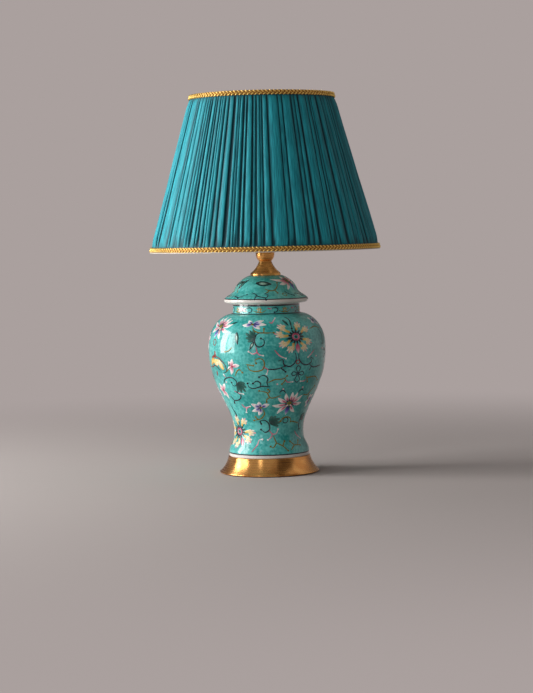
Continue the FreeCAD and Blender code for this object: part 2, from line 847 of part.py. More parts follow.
def make_all():
    """Every piece of the lamp, by name."""
    low, high = ring_heights()
    nut_z = dish_z - washer_thickness - base_nut_height
    return {
        "felt_pad": make_felt_pad(),
        "base_plate": make_base_plate(),
        "base_skirt": make_base_skirt(),
        "base_washer": pipe(washer_radius, rod_hole_radius, dish_z - washer_thickness, dish_z),
        "base_nut": hex_nut(base_nut_width, nut_z, base_nut_height),
        "cord_gland": make_cord_gland(),
        "threaded_rod": make_rod(),
        "jar_seat_ring": make_jar_seat(),
        "jar": make_jar(),
        "jar_hole_bush": make_bush(jar_hole_radius, base_height, jar_floor_z, jar_floor_top_z),
        "lid_gasket": make_lid_gasket(),
        "lid": make_lid(),
        "lid_hole_bush": pipe(lid_hole_radius - bush_fit, rod_hole_radius, lid_top_z - lid_wall, lid_top_z),
        "neck_bell": make_neck_bell(),
        "neck_ball": make_neck_ball(),
        "top_nut": hex_nut(top_nut_width, top_nut_z, top_nut_height),
        "lampholder_cap": make_holder_cap(),
        "cap_lock_screw": make_lock_screw(),
        "lampholder_body": make_holder_body(),
        "lampholder_core": make_holder_insert(),
        "terminal_screws": make_terminal_screws(),
        "screw_shell": make_screw_shell(),
        "centre_contact": make_centre_contact(),
        "lower_shade_ring": make_shade_ring(step_z, shade_ring_thickness),
        "upper_shade_ring": make_shade_ring(upper_ring_z, upper_ring_thickness),
        "bulb_tip": make_bulb_tip(),
        "bulb_insulator": make_bulb_insulator(),
        "bulb_cap": make_bulb_cap(),
        "bulb_glass": make_bulb_glass(),
        "bottom_wire_ring": make_wire_ring(low),
        "top_wire_ring": make_wire_ring(high),
        "shade_struts": make_struts(),
        "shade_spider": make_spider(),
        "shade_lining": make_lining(),
        "shade_cover": make_shade_cover(),
        "bottom_braid": make_braid(shade_z),
        "top_braid": make_braid(shade_top_z - braid_height),
    }


os.makedirs("parts", exist_ok=True)
for name, shape in make_all().items():
    shape.exportStep("parts/" + name + ".step")
print("lamp height", round(shade_top_z, 1), "mm")
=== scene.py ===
import json
import math
import random

import bpy
import numpy as np
from mathutils import Matrix, Vector


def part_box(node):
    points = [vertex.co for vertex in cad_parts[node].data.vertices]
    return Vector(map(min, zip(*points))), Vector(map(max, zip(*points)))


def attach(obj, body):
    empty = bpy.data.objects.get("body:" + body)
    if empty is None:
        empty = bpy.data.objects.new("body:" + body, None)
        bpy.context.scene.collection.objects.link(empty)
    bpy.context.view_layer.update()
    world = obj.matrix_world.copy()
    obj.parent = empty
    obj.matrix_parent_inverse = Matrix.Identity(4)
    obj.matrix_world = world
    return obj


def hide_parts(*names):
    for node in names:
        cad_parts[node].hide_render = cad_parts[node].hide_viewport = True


# Ginger jar lamp: a turquoise enamelled jar and lid on a spun brass foot, with a gathered cone shade.
# Metres, +Z up, front towards -Y. Settings named in millimetres are multiplied by mm.

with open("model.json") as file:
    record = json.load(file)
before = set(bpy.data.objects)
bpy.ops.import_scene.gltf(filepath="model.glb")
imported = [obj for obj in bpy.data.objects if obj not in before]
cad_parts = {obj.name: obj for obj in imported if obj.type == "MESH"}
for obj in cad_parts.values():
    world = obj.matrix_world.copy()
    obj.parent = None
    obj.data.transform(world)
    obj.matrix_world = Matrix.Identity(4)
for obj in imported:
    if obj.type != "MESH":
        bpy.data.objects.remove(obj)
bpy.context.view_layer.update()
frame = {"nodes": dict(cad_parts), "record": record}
nodes = frame["nodes"]
mm = 0.001
print("packed lamp loaded:", len(nodes), "nodes")


# Camera, light and floor

view = {"lens": 103.9, "sensor": 36.0, "place": (-0.001, -3.478, 0.4354), "lookDown": 3.56, "roll": -1.25}

# each lamp aims at a height on the jar's axis, and shows in the gloss unless it says otherwise
lamps = {
    "nearPane": {"place": (-2.25, -0.62, 0.8), "aim": 0.34, "size": (0.74, 1.55), "power": 27},
    "farPane": {"place": (-2.25, 0.2, 0.8), "aim": 0.34, "size": (0.64, 1.55), "power": 37},
    "stripLight": {"place": (-0.95, -1.95, 0.8), "aim": 0.3, "size": (0.3, 1.7), "power": 3.4},
    "fillLight": {"place": (-1.6, -2.0, 1.2), "aim": 0.35, "size": (1.2, 1.2), "power": 8, "mirrored": False},
    "topLight": {"place": (-0.4, 0.6, 2.6), "aim": 0.4, "size": (1.4, 1.4), "power": 8, "mirrored": False},
}

# the room round the lamp is lighter in some directions than in others: turn from the front and strength
studio = {"backdrop": (170, 160, 158), "floor": (200, 190, 186), "ambient": (168, 163, 162),
          "walls": ((-180, 0.35), (-125, 0.75), (-100, 0.7), (-65, 0.85), (-30, 0.85), (20, 0.82), (30, 0.20),
                    (68, 0.20), (80, 1.5), (112, 1.4), (140, 0.45), (180, 0.35)),
          "softShare": 0.38, "floorRadius": 9.0, "floorRoughness": 0.9, "fadeStart": 0.35, "fadeEnd": 1.7}


def paint(red, green, blue, alpha=1.0):
    # a colour as read on a screen, 0 to 255, turned into the linear one that shaders take
    channels = [c / 255 for c in (red, green, blue)]
    return tuple(c / 12.92 if c <= 0.04045 else ((c + 0.055) / 1.055) ** 2.4 for c in channels) + (alpha,)


def startFresh():
    if bpy.context.object and bpy.context.object.mode != "OBJECT":
        bpy.ops.object.mode_set(mode="OBJECT")
    bpy.ops.object.select_all(action="DESELECT")


def pick(*pieces):
    startFresh()
    for piece in pieces:
        piece.select_set(True)
    bpy.context.view_layer.objects.active = pieces[0]


def placeCamera():
    data = bpy.data.cameras.new("camera")
    data.lens = view["lens"]
    data.sensor_width = view["sensor"]
    eye = bpy.data.objects.new("camera", data)
    bpy.context.scene.collection.objects.link(eye)
    tilt = Matrix.Rotation(math.radians(90 - view["lookDown"]), 4, "X")
    roll = Matrix.Rotation(math.radians(view["roll"]), 4, "Z")
    eye.matrix_world = Matrix.Translation(view["place"]) @ tilt @ roll
    bpy.context.scene.camera = eye


def placeLamps():
    for name, lamp in lamps.items():
        startFresh()
        way = Vector((0, 0, lamp["aim"])) - Vector(lamp["place"])
        turned = way.to_track_quat("-Z", "Y").to_euler()
        bpy.ops.object.light_add(type="AREA", location=lamp["place"], rotation=turned)
        light = bpy.context.object
        light.name = name
        light.data.shape = "RECTANGLE"
        light.data.size, light.data.size_y = lamp["size"]
        light.data.energy = lamp["power"]
        light.visible_glossy = lamp.get("mirrored", True)


def addNode(tree, kind, inputs=None, **settings):
    node = tree.nodes.new(kind)
    for key, value in settings.items():
        setattr(node, key, value)
    for socket, value in (inputs or {}).items():
        if isinstance(value, bpy.types.NodeSocket):
            tree.links.new(value, node.inputs[socket])
        else:
            node.inputs[socket].default_value = value
    return node


def maths(tree, operation, first, second=0.0, third=0.0):
    return addNode(tree, "ShaderNodeMath", {0: first, 1: second, 2: third}, operation=operation).outputs[0]


def blendColors(tree, factor, first, second):
    mix = addNode(tree, "ShaderNodeMix", {0: factor, 6: first, 7: second}, data_type="RGBA")
    return mix.outputs[2]


def blendValues(tree, factor, first, second):
    return addNode(tree, "ShaderNodeMix", {0: factor, 2: first, 3: second}).outputs[0]


def noise(tree, place, scale, detail=2.0):
    return addNode(tree, "ShaderNodeTexNoise", {"Vector": place, "Scale": scale, "Detail": detail}).outputs[0]


def objectPlace(tree):
    return addNode(tree, "ShaderNodeTexCoord").outputs["Object"]


def split(tree, place):
    return addNode(tree, "ShaderNodeSeparateXYZ", {0: place}).outputs


def distanceOut(tree, parts):
    # how far a point lies from the lamp's axis
    flat = addNode(tree, "ShaderNodeCombineXYZ", {0: parts[0], 1: parts[1]}).outputs[0]
    return addNode(tree, "ShaderNodeVectorMath", {0: flat}, operation="LENGTH").outputs["Value"]


def remap(tree, value, low, high, newLow=0.0, newHigh=1.0, smooth=True):
    kind = "SMOOTHSTEP" if smooth else "LINEAR"
    inputs = {"Value": value, "From Min": low, "From Max": high, "To Min": newLow, "To Max": newHigh}
    return addNode(tree, "ShaderNodeMapRange", inputs, interpolation_type=kind).outputs[0]


def seenDirectly(tree):
    # 1 for what the camera sees by itself, in a mirror or through glass
    path = addNode(tree, "ShaderNodeLightPath").outputs
    straight = maths(tree, "MAXIMUM", path["Is Camera Ray"], path["Is Glossy Ray"])
    return maths(tree, "MAXIMUM", straight, path["Is Transmission Ray"])


def buildRoom():
    world = bpy.data.worlds.new("studio")
    bpy.context.scene.world = world
    world.use_nodes = True
    tree = world.node_tree
    back = tree.nodes["Background"]
    path = addNode(tree, "ShaderNodeLightPath").outputs
    toCamera = path["Is Camera Ray"]
    color = blendColors(tree, toCamera, paint(*studio["ambient"]), paint(*studio["backdrop"]))
    tree.links.new(color, back.inputs["Color"])
    # the strength of each wall, blended from one direction to the next
    direction = addNode(tree, "ShaderNodeTexCoord").outputs["Generated"]
    parts = split(tree, direction)
    turn = maths(tree, "ARCTAN2", parts[0], maths(tree, "MULTIPLY", parts[1], -1.0))
    ramp = addNode(tree, "ShaderNodeValToRGB", {0: remap(tree, turn, -math.pi, math.pi, smooth=False)})
    marks = ramp.color_ramp.elements
    for degrees, strength in studio["walls"]:
        place = (degrees + 180) / 360
        mark = marks[0] if place == 0 else marks[len(marks) - 1] if place == 1 else marks.new(place)
        mark.color = (strength, strength, strength, 1)
    # mirrored in full, and softer where it only lights
    mirrored = blendValues(tree, path["Is Glossy Ray"], studio["softShare"], 1.0)
    around = maths(tree, "MULTIPLY", ramp.outputs[0], mirrored)
    tree.links.new(blendValues(tree, toCamera, around, 1.0), back.inputs["Strength"])


def layFloor():
    startFresh()
    bpy.ops.mesh.primitive_circle_add(vertices=96, radius=studio["floorRadius"], fill_type="NGON")
    floor = bpy.context.object
    floor.name = "floor"
    material = bpy.data.materials.new("floor")
    material.use_nodes = True
    tree = material.node_tree
    shader = tree.nodes["Principled BSDF"]
    shader.inputs["Base Color"].default_value = paint(*studio["floor"])
    shader.inputs["Roughness"].default_value = studio["floorRoughness"]
    distance = distanceOut(tree, split(tree, objectPlace(tree)))
    far = remap(tree, distance, studio["fadeStart"], studio["fadeEnd"])
    fade = maths(tree, "MULTIPLY", far, seenDirectly(tree))
    glow = addNode(tree, "ShaderNodeEmission", {"Color": paint(*studio["backdrop"])}).outputs[0]
    both = addNode(tree, "ShaderNodeMixShader", {0: fade, 1: shader.outputs[0], 2: glow}).outputs[0]
    # clear from below, so that the underside can be looked at
    below = addNode(tree, "ShaderNodeNewGeometry").outputs["Backfacing"]
    clear = addNode(tree, "ShaderNodeBsdfTransparent").outputs[0]
    shown = addNode(tree, "ShaderNodeMixShader", {0: below, 1: both, 2: clear}).outputs[0]
    tree.links.new(shown, tree.nodes["Material Output"].inputs["Surface"])
    floor.data.materials.append(material)


bpy.context.scene.view_settings.view_transform = "Standard"
placeCamera()
placeLamps()
buildRoom()
layFloor()
print("camera, lamps and floor are in place")


# Shared surface effects

def newGroup(name, inputs, outputs):
    group = bpy.data.node_groups.new(name, "ShaderNodeTree")
    for label, value in inputs.items():
        socket = group.interface.new_socket(name=label, in_out="INPUT", socket_type="NodeSocketFloat")
        socket.default_value = value
    for label in outputs:
        group.interface.new_socket(name=label, in_out="OUTPUT", socket_type="NodeSocketFloat")
    return group, addNode(group, "NodeGroupInput").outputs, addNode(group, "NodeGroupOutput").inputs


def makeMottle():
    # soft uneven patches, with a finer grain in them
    group, given, result = newGroup("mottle", {"Scale": 40.0, "Grain": 0.35}, ["Value"])
    place = objectPlace(group)
    soft = noise(group, place, given["Scale"], 3.0)
    grain = noise(group, place, maths(group, "MULTIPLY", given["Scale"], 9.0))
    group.links.new(blendValues(group, given["Grain"], soft, grain), result["Value"])
    return group


def makeTurnedLines():
    # fine rings left by turning: noise that changes with radius and height only
    group, given, result = newGroup("turnedLines", {"Fineness": 1500.0}, ["Line", "Patch"])
    place = objectPlace(group)
    parts = split(group, place)
    section = addNode(group, "ShaderNodeCombineXYZ", {0: distanceOut(group, parts), 1: parts[2]}).outputs[0]
    group.links.new(noise(group, section, given["Fineness"]), result["Line"])
    group.links.new(noise(group, place, 28.0, 4.0), result["Patch"])
    return group


def makeWeave():
    # warp and weft from the piece's own UV map, which is in metres
    group, given, result = newGroup("weave", {"Pitch": 0.0005, "Slub": 0.4}, ["Height", "Shade"])
    uv = addNode(group, "ShaderNodeTexCoord").outputs["UV"]
    parts = split(group, uv)
    turns = maths(group, "DIVIDE", 2 * math.pi, given["Pitch"])
    warp, weft = (maths(group, "SINE", maths(group, "MULTIPLY", parts[k], turns)) for k in (0, 1))
    along, across = (maths(group, "MULTIPLY", parts[k], pace) for k, pace in ((0, 900.0), (1, 24.0)))
    slub = noise(group, addNode(group, "ShaderNodeCombineXYZ", {0: along, 1: across}).outputs[0], 1.0, 3.0)
    cloth = maths(group, "MULTIPLY_ADD", maths(group, "MULTIPLY", warp, weft), 0.5, 0.5)
    group.links.new(blendValues(group, given["Slub"], cloth, slub), result["Height"])
    group.links.new(slub, result["Shade"])
    return group


mottle = makeMottle()
turnedLines = makeTurnedLines()
weave = makeWeave()


def newMaterial(name, color, roughness, **constants):
    material = bpy.data.materials.new(name)
    material.use_nodes = True
    shader = material.node_tree.nodes["Principled BSDF"]
    shader.inputs["Base Color"].default_value = paint(*color)
    shader.inputs["Roughness"].default_value = roughness
    for label, value in constants.items():
        shader.inputs[label.replace("_", " ")].default_value = value
    return material, material.node_tree, shader


def effect(tree, group, **inputs):
    node = addNode(tree, "ShaderNodeGroup", node_tree=group)
    for label, value in inputs.items():
        node.inputs[label].default_value = value
    return node.outputs


def feed(tree, shader, color=None, roughness=None, height=None, distance=0.0001, strength=0.5):
    if color is not None:
        tree.links.new(color, shader.inputs["Base Color"])
    if roughness is not None:
        tree.links.new(roughness, shader.inputs["Roughness"])
    if height is not None:
        bump = addNode(tree, "ShaderNodeBump", {"Height": height, "Distance": distance, "Strength": strength})
        tree.links.new(bump.outputs[0], shader.inputs["Normal"])


def plainMaterial(name, color, roughness, change=0.12, scale=60.0, distance=0.00005, **constants):
    # a moulded, plated or painted finish: slightly uneven colour and gloss, and a fine grain
    material, tree, shader = newMaterial(name, color, roughness, **constants)
    uneven = effect(tree, mottle, Scale=scale)["Value"]
    dark = paint(*[c * (1 - change) for c in color])
    light = paint(*[min(255, c * (1 + change)) for c in color])
    mixed = blendColors(tree, remap(tree, uneven, 0.3, 0.7), dark, light)
    rough = remap(tree, uneven, 0.3, 0.7, roughness * 0.85, min(1.0, roughness * 1.2))
    feed(tree, shader, mixed, rough, uneven, distance)
    return material


# The cone of the shade, read from the frame's own hems

def coneOf(nodeName):
    # the cone through the outer edges of a node's lowest and highest rings, as radius at height 0 and slope
    co = np.array([vertex.co for vertex in nodes[nodeName].data.vertices])
    radius = np.hypot(co[:, 0], co[:, 1])
    low, high = co[:, 2].min(), co[:, 2].max()
    lowRadius = radius[co[:, 2] < low + 0.0001].max()
    highRadius = radius[co[:, 2] > high - 0.0001].max()
    slope = (highRadius - lowRadius) / (high - low)
    return lowRadius - slope * low, slope


hemStart, hemSlope = coneOf("shade_cover")
liningStart, liningSlope = coneOf("shade_lining")


def hemRadius(height):
    return hemStart + hemSlope * height


# Finishes

brass = {"bright": (240, 178, 104), "dull": (212, 146, 80), "roughness": 0.25}
glaze = {"deep": (6, 155, 150), "light": (100, 209, 203), "white": (232, 227, 220), "line": (26, 28, 34),
         "waver": 0.8 * mm, "footTop": 35.4 * mm, "footLine": 37.5 * mm, "neckLow": 277.6 * mm,
         "neckHigh": 279.2 * mm, "lipLine": 291.4 * mm, "lipLow": 294.2 * mm, "rimLine": 303.0 * mm,
         "rimTop": 304.8 * mm}
# silk's valley is a painted shade colour for cloth deep between the folds; low and high are the depths where
# it fades
silk = {"valley": (6, 58, 68), "deep": (20, 120, 134), "light": (50, 190, 204), "roughness": 0.6,
        "low": -0.8 * mm, "high": 1.9 * mm}
# goldThread's deep is a painted shade colour for thread deep between the strands; low and high are the depths
# where it fades
goldThread = {"deep": (150, 84, 24), "light": (255, 218, 124), "roughness": 0.45, "metallic": 0.75,
              "low": 0.9 * mm, "high": 2.2 * mm}


def makeBrass():
    material, tree, shader = newMaterial("satinBrass", brass["bright"], brass["roughness"], Metallic=1.0,
                                         Anisotropic=0.9, Anisotropic_Rotation=0.25)
    lines = effect(tree, turnedLines)
    wearAndShade = remap(tree, lines["Patch"], 0.42, 0.62)
    color = blendColors(tree, wearAndShade, paint(*brass["bright"]), paint(*brass["dull"]))
    rough = remap(tree, lines["Line"], 0.3, 0.7, brass["roughness"] - 0.05, brass["roughness"] + 0.1)
    feed(tree, shader, color, rough, lines["Line"], 0.00001, 0.35)
    return material


def bandMask(tree, height, low, high):
    # 1 between two heights
    over, under = maths(tree, "GREATER_THAN", height, low), maths(tree, "LESS_THAN", height, high)
    return maths(tree, "MULTIPLY", over, under)


def makeGlaze(name, lines, whites):
    material, tree, shader = newMaterial(name, glaze["light"], 0.42, Coat_Weight=0.9, Coat_Roughness=0.07,
                                         Coat_IOR=1.5, Specular_IOR_Level=0.3)
    place = objectPlace(tree)
    # bands and lines waver as painted by hand
    waver = maths(tree, "SUBTRACT", noise(tree, place, 45.0), 0.5)
    height = maths(tree, "MULTIPLY_ADD", waver, glaze["waver"], split(tree, place)[2])
    uneven = effect(tree, mottle, Scale=24.0, Grain=0.45)["Value"]
    color = blendColors(tree, remap(tree, uneven, 0.36, 0.64), paint(*glaze["deep"]), paint(*glaze["light"]))
    for mark, bands in (("white", whites), ("line", lines)):
        for low, high in bands:
            color = blendColors(tree, bandMask(tree, height, low, high), color, paint(*glaze[mark]))
    rough = remap(tree, uneven, 0.3, 0.7, 0.36, 0.48)
    feed(tree, shader, color, rough, uneven, 0.0002, 0.35)
    return material


def offTheCone(tree, place, low, high):
    # 0 to 1: how far a point of the lampshade stands off the cone of its hems, which sets where shade is
    #         painted
    parts = split(tree, place)
    cone = maths(tree, "MULTIPLY_ADD", parts[2], hemSlope, hemStart)
    return remap(tree, maths(tree, "SUBTRACT", distanceOut(tree, parts), cone), low, high)


def makeSilk():
    # dyed silk, with shade painted darker deep between its folds
    material, tree, shader = newMaterial("tealSilk", silk["light"], silk["roughness"],
                                         Specular_IOR_Level=0.35)
    cloth = effect(tree, weave, Pitch=0.00055, Slub=0.9)
    thread = remap(tree, cloth["Shade"], 0.3, 0.7)
    color = blendColors(tree, thread, paint(*silk["deep"]), paint(*silk["light"]))
    # painted shade: the colour darkens towards the valley colour where the cloth lies deep below the cone of
    # its hems
    paintedShadeByDepth = offTheCone(tree, objectPlace(tree), silk["low"], silk["high"])
    color = blendColors(tree, paintedShadeByDepth, paint(*silk["valley"]), color)
    feed(tree, shader, color, None, cloth["Height"], 0.00004, 0.3)
    return material


def makeGoldThread():
    # a metal thread, with shade painted dark where it lies deep between the strands, broken up by fibre noise
    material, tree, shader = newMaterial("goldThread", goldThread["light"], goldThread["roughness"],
                                         Metallic=goldThread["metallic"])
    place = objectPlace(tree)
    paintedShadeByDepth = offTheCone(tree, place, goldThread["low"], goldThread["high"])
    fibre = noise(tree, place, 900.0, 3.0)
    # painted shade: the thread darkens towards its deep colour where it lies close to the cone, broken up by
    # fibre noise
    wearAndShade = maths(tree, "MULTIPLY", remap(tree, fibre, 0.25, 0.5, 0.75, 1.0), paintedShadeByDepth)
    color = blendColors(tree, wearAndShade, paint(*goldThread["deep"]), paint(*goldThread["light"]))
    feed(tree, shader, color, None, fibre, 0.0002, 0.6)
    return material


def makeLiningCloth():
    material, tree, shader = newMaterial("whiteLining", (226, 220, 206), 0.8, Sheen_Weight=0.1)
    cloth = effect(tree, weave, Pitch=0.0009, Slub=0.3)
    color = blendColors(tree, cloth["Shade"], paint(212, 205, 190), paint(236, 231, 219))
    feed(tree, shader, color, None, cloth["Height"], 0.0001, 0.5)
    return material


def makeFelt():
    material, tree, shader = newMaterial("felt", (52, 52, 56), 0.95, Sheen_Weight=0.3)
    uneven = effect(tree, mottle, Scale=500.0, Grain=0.5)["Value"]
    color = blendColors(tree, remap(tree, uneven, 0.35, 0.65), paint(38, 38, 42), paint(70, 70, 74))
    feed(tree, shader, color, None, uneven, 0.0004, 0.8)
    return material


def makeOpal():
    material, tree, shader = newMaterial("opalGlass", (238, 236, 228), 0.12, Coat_Weight=0.4)
    uneven = effect(tree, mottle, Scale=30.0)["Value"]
    color = blendColors(tree, uneven, paint(230, 227, 218), paint(246, 244, 238))
    feed(tree, shader, color, remap(tree, uneven, 0.3, 0.7, 0.1, 0.2))
    return material


finishes = {
    "felt": makeFelt(),
    "zinc_steel": plainMaterial("zincSteel", (176, 178, 176), 0.34, Metallic=1.0),
    "satin_brass": makeBrass(),
    "dark_plastic": plainMaterial("darkPlastic", (46, 43, 40), 0.5),
    "clear_rubber": plainMaterial("clearRubber", (206, 204, 192), 0.55),
    "holder_plastic": plainMaterial("holderPlastic", (34, 34, 36), 0.32, scale=120.0),
    "white_ceramic": plainMaterial("whiteCeramic", (232, 229, 219), 0.6),
    "contact_brass": plainMaterial("contactBrass", (220, 182, 110), 0.3, Metallic=1.0),
    "solder": plainMaterial("solder", (188, 188, 190), 0.4, Metallic=1.0),
    "black_glass": plainMaterial("blackGlass", (24, 24, 28), 0.1),
    "nickel_plate": plainMaterial("nickelPlate", (206, 202, 194), 0.26, Metallic=1.0),
    "opal_glass": makeOpal(),
    "white_wire": plainMaterial("whiteWire", (232, 229, 222), 0.42),
    "white_lining": makeLiningCloth(),
    "teal_silk": makeSilk(),
    "gold_braid": makeGoldThread(),
}
slotOf = {part["node"]: part["material_slot"] for part in frame["record"]["subparts"]}


def dress(piece, material):
    piece.data.materials.clear()
    piece.data.materials.append(material)


for nodeName, node in nodes.items():
    if slotOf[nodeName] in finishes:
        dress(node, finishes[slotOf[nodeName]])
print("finishes made:", len(finishes))


# Turned pieces: their outlines are read from the frame, so they match it, with more rings for a smooth gloss

turned = {"crease": 32, "jarRings": 192, "neckRings": 128, "gland": 4.65 * mm, "drill": 40 * mm}


def outlineOf(nodeName):
    # the closed half section of a turned node, in the plane where its surface closes
    mesh = nodes[nodeName].data
    points = {}
    for index, vertex in enumerate(mesh.vertices):
        if abs(vertex.co.y) < 0.000002 and vertex.co.x > 0:
            points[index] = (round(vertex.co.x, 5), round(vertex.co.z, 5))
    beside = {}
    for edge in mesh.edges:
        first, second = (points.get(index) for index in edge.vertices)
        if first and second and first != second:
            beside.setdefault(first, set()).add(second)
            beside.setdefault(second, set()).add(first)
    start = max(beside, key=lambda point: (point[0], -point[1]))
    loop = [start]
    here = max(beside[start], key=lambda point: point[1])
    while here != start:
        loop.append(here)
        here = next(point for point in beside[here] if point != loop[-2])
    return loop


def drawCircle(name, rings, radius, height, fill="NOTHING"):
    # a level circle round the axis, left in edit mode with all of it selected
    startFresh()
    bpy.ops.mesh.primitive_circle_add(vertices=rings, radius=radius, location=(0, 0, height), fill_type=fill)
    piece = bpy.context.object
    piece.name = name
    bpy.ops.object.transform_apply(location=True, rotation=False, scale=False)
    bpy.ops.object.mode_set(mode="EDIT")
    bpy.ops.mesh.select_all(action="SELECT")
    return piece


def drawUp(name, rings, start, stages, inwards=False):
    # a circle, extruded and sized from one (radius, height) to the next; its faces look out, or inwards
    radius, height = start
    piece = drawCircle(name, rings, radius, height)
    for nextRadius, nextHeight in stages:
        bpy.ops.mesh.extrude_region_move(TRANSFORM_OT_translate={"value": (0, 0, nextHeight - height)})
        grow = nextRadius / radius
        bpy.ops.transform.resize(value=(grow, grow, 1), center_override=(0, 0, nextHeight))
        radius, height = nextRadius, nextHeight
    bpy.ops.mesh.select_all(action="SELECT")
    bpy.ops.mesh.remove_doubles(threshold=0.01 * mm)
    bpy.ops.mesh.normals_make_consistent(inside=inwards)
    bpy.ops.object.mode_set(mode="OBJECT")
    return piece


def turnPiece(name, loop, rings):
    # the outline drawn up until it closes
    piece = drawUp(name, rings, loop[0], loop[1:] + loop[:1])
    bpy.ops.object.shade_smooth_by_angle(angle=math.radians(turned["crease"]))
    return piece


def modify(piece, kind, **settings):
    pick(piece)
    change = piece.modifiers.new(kind.lower(), kind)
    for label, value in settings.items():
        setattr(change, label, value)
    bpy.ops.object.modifier_apply(modifier=change.name)


def thicken(piece, thickness):
    modify(piece, "SOLIDIFY", thickness=thickness, offset=-1.0)


def meshPiece(name, points, faces):
    mesh = bpy.data.meshes.new(name)
    mesh.from_pydata(points, [], faces)
    piece = bpy.data.objects.new(name, mesh)
    bpy.context.scene.collection.objects.link(piece)
    pick(piece)
    return piece


def mapCloth(mesh, spotOf):
    # the cloth's own UV map in metres: spotOf says where a corner lies on it, from its face and its vertex
    layer = mesh.uv_layers.new(name="cloth")
    for face in mesh.polygons:
        for loop in face.loop_indices:
            layer.data[loop].uv = spotOf(face, mesh.loops[loop].vertex_index)


def seat(piece, body, slot, *replaced, material=None):
    dress(piece, material or finishes[slot])
    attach(piece, body)
    if replaced:
        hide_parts(*replaced)


def cutHole(piece, radius, place, length):
    # a round hole towards the back
    startFresh()
    bpy.ops.mesh.primitive_cylinder_add(vertices=48, radius=radius, depth=length, location=place,
                                        rotation=(math.radians(90), 0, 0))
    drill = bpy.context.object
    modify(piece, "BOOLEAN", operation="DIFFERENCE", object=drill)
    bpy.data.objects.remove(drill)


jarLines = [(glaze["footTop"], glaze["footLine"]), (glaze["neckLow"], glaze["neckHigh"]),
            (glaze["lipLine"], glaze["lipLow"])]
jarGlaze = makeGlaze("jarGlaze", jarLines, [(0.0, glaze["footTop"]), (glaze["lipLow"], 1.0)])
lidGlaze = makeGlaze("lidGlaze", [(glaze["rimLine"], glaze["rimTop"])], [(0.0, glaze["rimLine"])])

jarLoop = outlineOf("jar")
lidLoop = outlineOf("lid")
jar = turnPiece("glazed_jar", jarLoop, turned["jarRings"])
lid = turnPiece("glazed_lid", lidLoop, turned["jarRings"])
seat(jar, "base", "enamelled_porcelain", "jar", material=jarGlaze)
seat(lid, "base", "enamelled_porcelain", "lid", material=lidGlaze)
skirt = turnPiece("spun_skirt", outlineOf("base_skirt"), turned["jarRings"])
# the cord gland passes through the back of the skirt
glandLow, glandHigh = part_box("cord_gland")
cutHole(skirt, turned["gland"], (0, glandHigh.y, (glandLow.z + glandHigh.z) / 2), turned["drill"])
bell = turnPiece("spun_bell", outlineOf("neck_bell"), turned["neckRings"])
ball = turnPiece("spun_ball", outlineOf("neck_ball"), turned["neckRings"])
for piece, nodeName in ((skirt, "base_skirt"), (bell, "neck_bell"), (ball, "neck_ball")):
    seat(piece, "base", "satin_brass", nodeName)
print("turned pieces made")


# Painted enamel: each stroke is a small closed ridge that follows the outline of the jar or lid. It is
# written as a mesh, because strokes that bend with the glaze can't be drawn by operators.

enamel = {
    "white": (255, 250, 246), "cream": (255, 242, 204), "yellow": (252, 216, 116), "amber": (228, 174, 76),
    "ochre": (132, 116, 16), "olive": (128, 124, 44), "pink": (240, 142, 168), "rose": (184, 44, 84),
    "blue": (62, 64, 172), "violet": (140, 132, 212), "navy": (20, 28, 66), "ink": (18, 38, 44),
    "leaf": (18, 88, 80), "sage": (74, 132, 120), "mint": (176, 216, 200), "rust": (150, 44, 28),
    "step": 1.25, "lift": 0.2, "sunk": -0.3, "layer": 0.07, "roughness": 0.22, "crease": 50,
}
# across a stroke: how far out, and how high
strokeSection = ((-1.0, 0.0), (-0.72, 0.75), (0.0, 1.0), (0.72, 0.75), (1.0, 0.0))
strokeShapes = {"line": (0.5, 1.0, 1.0, 0.9, 0.35), "pointed": (0.35, 0.9, 1.0, 0.72, 0.15),
                "round": (0.4, 0.85, 1.0, 0.95, 0.5), "fan": (0.42, 0.42, 0.55, 0.85, 1.0),
                "even": (1.0, 1.0)}


def sideOf(loop):
    # the outer side of an outline from bottom to top in mm, with the distance along it
    path = [loop[0]]
    for point in loop[1:]:
        if point[1] <= path[-1][1]:
            break
        path.append(point)
    for point in reversed(loop):
        if point[1] >= path[0][1]:
            break
        path.insert(0, point)
    radius, height = np.array(path).T / mm
    along = np.concatenate([[0.0], np.cumsum(np.hypot(np.diff(radius), np.diff(height)))])
    return {"radius": radius, "height": height, "along": along}


def read(side, what, along):
    return np.interp(along, side["along"], side[what])


def onGlaze(place, spots, lift):
    # points over the glaze, from spots in mm to the right of and above a place
    side, turn, height = place[1:4]
    along = np.interp(height, side["height"], side["along"]) + spots[:, 1]
    radius, level = read(side, "radius", along), read(side, "height", along)
    grow = read(side, "radius", along + 1.5) - read(side, "radius", along - 1.5)
    rise = read(side, "height", along + 1.5) - read(side, "height", along - 1.5)
    slope = np.hypot(rise, grow)
    angle = math.radians(turn) + spots[:, 0] / radius
    radius = radius + lift * rise / slope
    level = level - lift * grow / slope
    return np.column_stack([radius * np.sin(angle), -radius * np.cos(angle), level]) * mm


def smoothLine(points):
    # an even line through the points, with round bends
    points = np.array(points, float)
    if len(points) == 2:
        points = np.array([points[0], points.mean(axis=0), points[1]])
    ends = np.vstack([2 * points[0] - points[1], points, 2 * points[-1] - points[-2]])
    line = []
    for a, b, c, d in zip(ends, ends[1:], ends[2:], ends[3:]):
        count = max(2, round(float(np.hypot(*(c - b))) / enamel["step"]))
        for t in np.arange(count) / count:
            line.append(0.5 * (2 * b + (c - a) * t + (2 * a - 5 * b + 4 * c - d) * t ** 2
                               + (3 * b - a - 3 * c + d) * t ** 3))
    line.append(points[-1])
    return np.array(line)


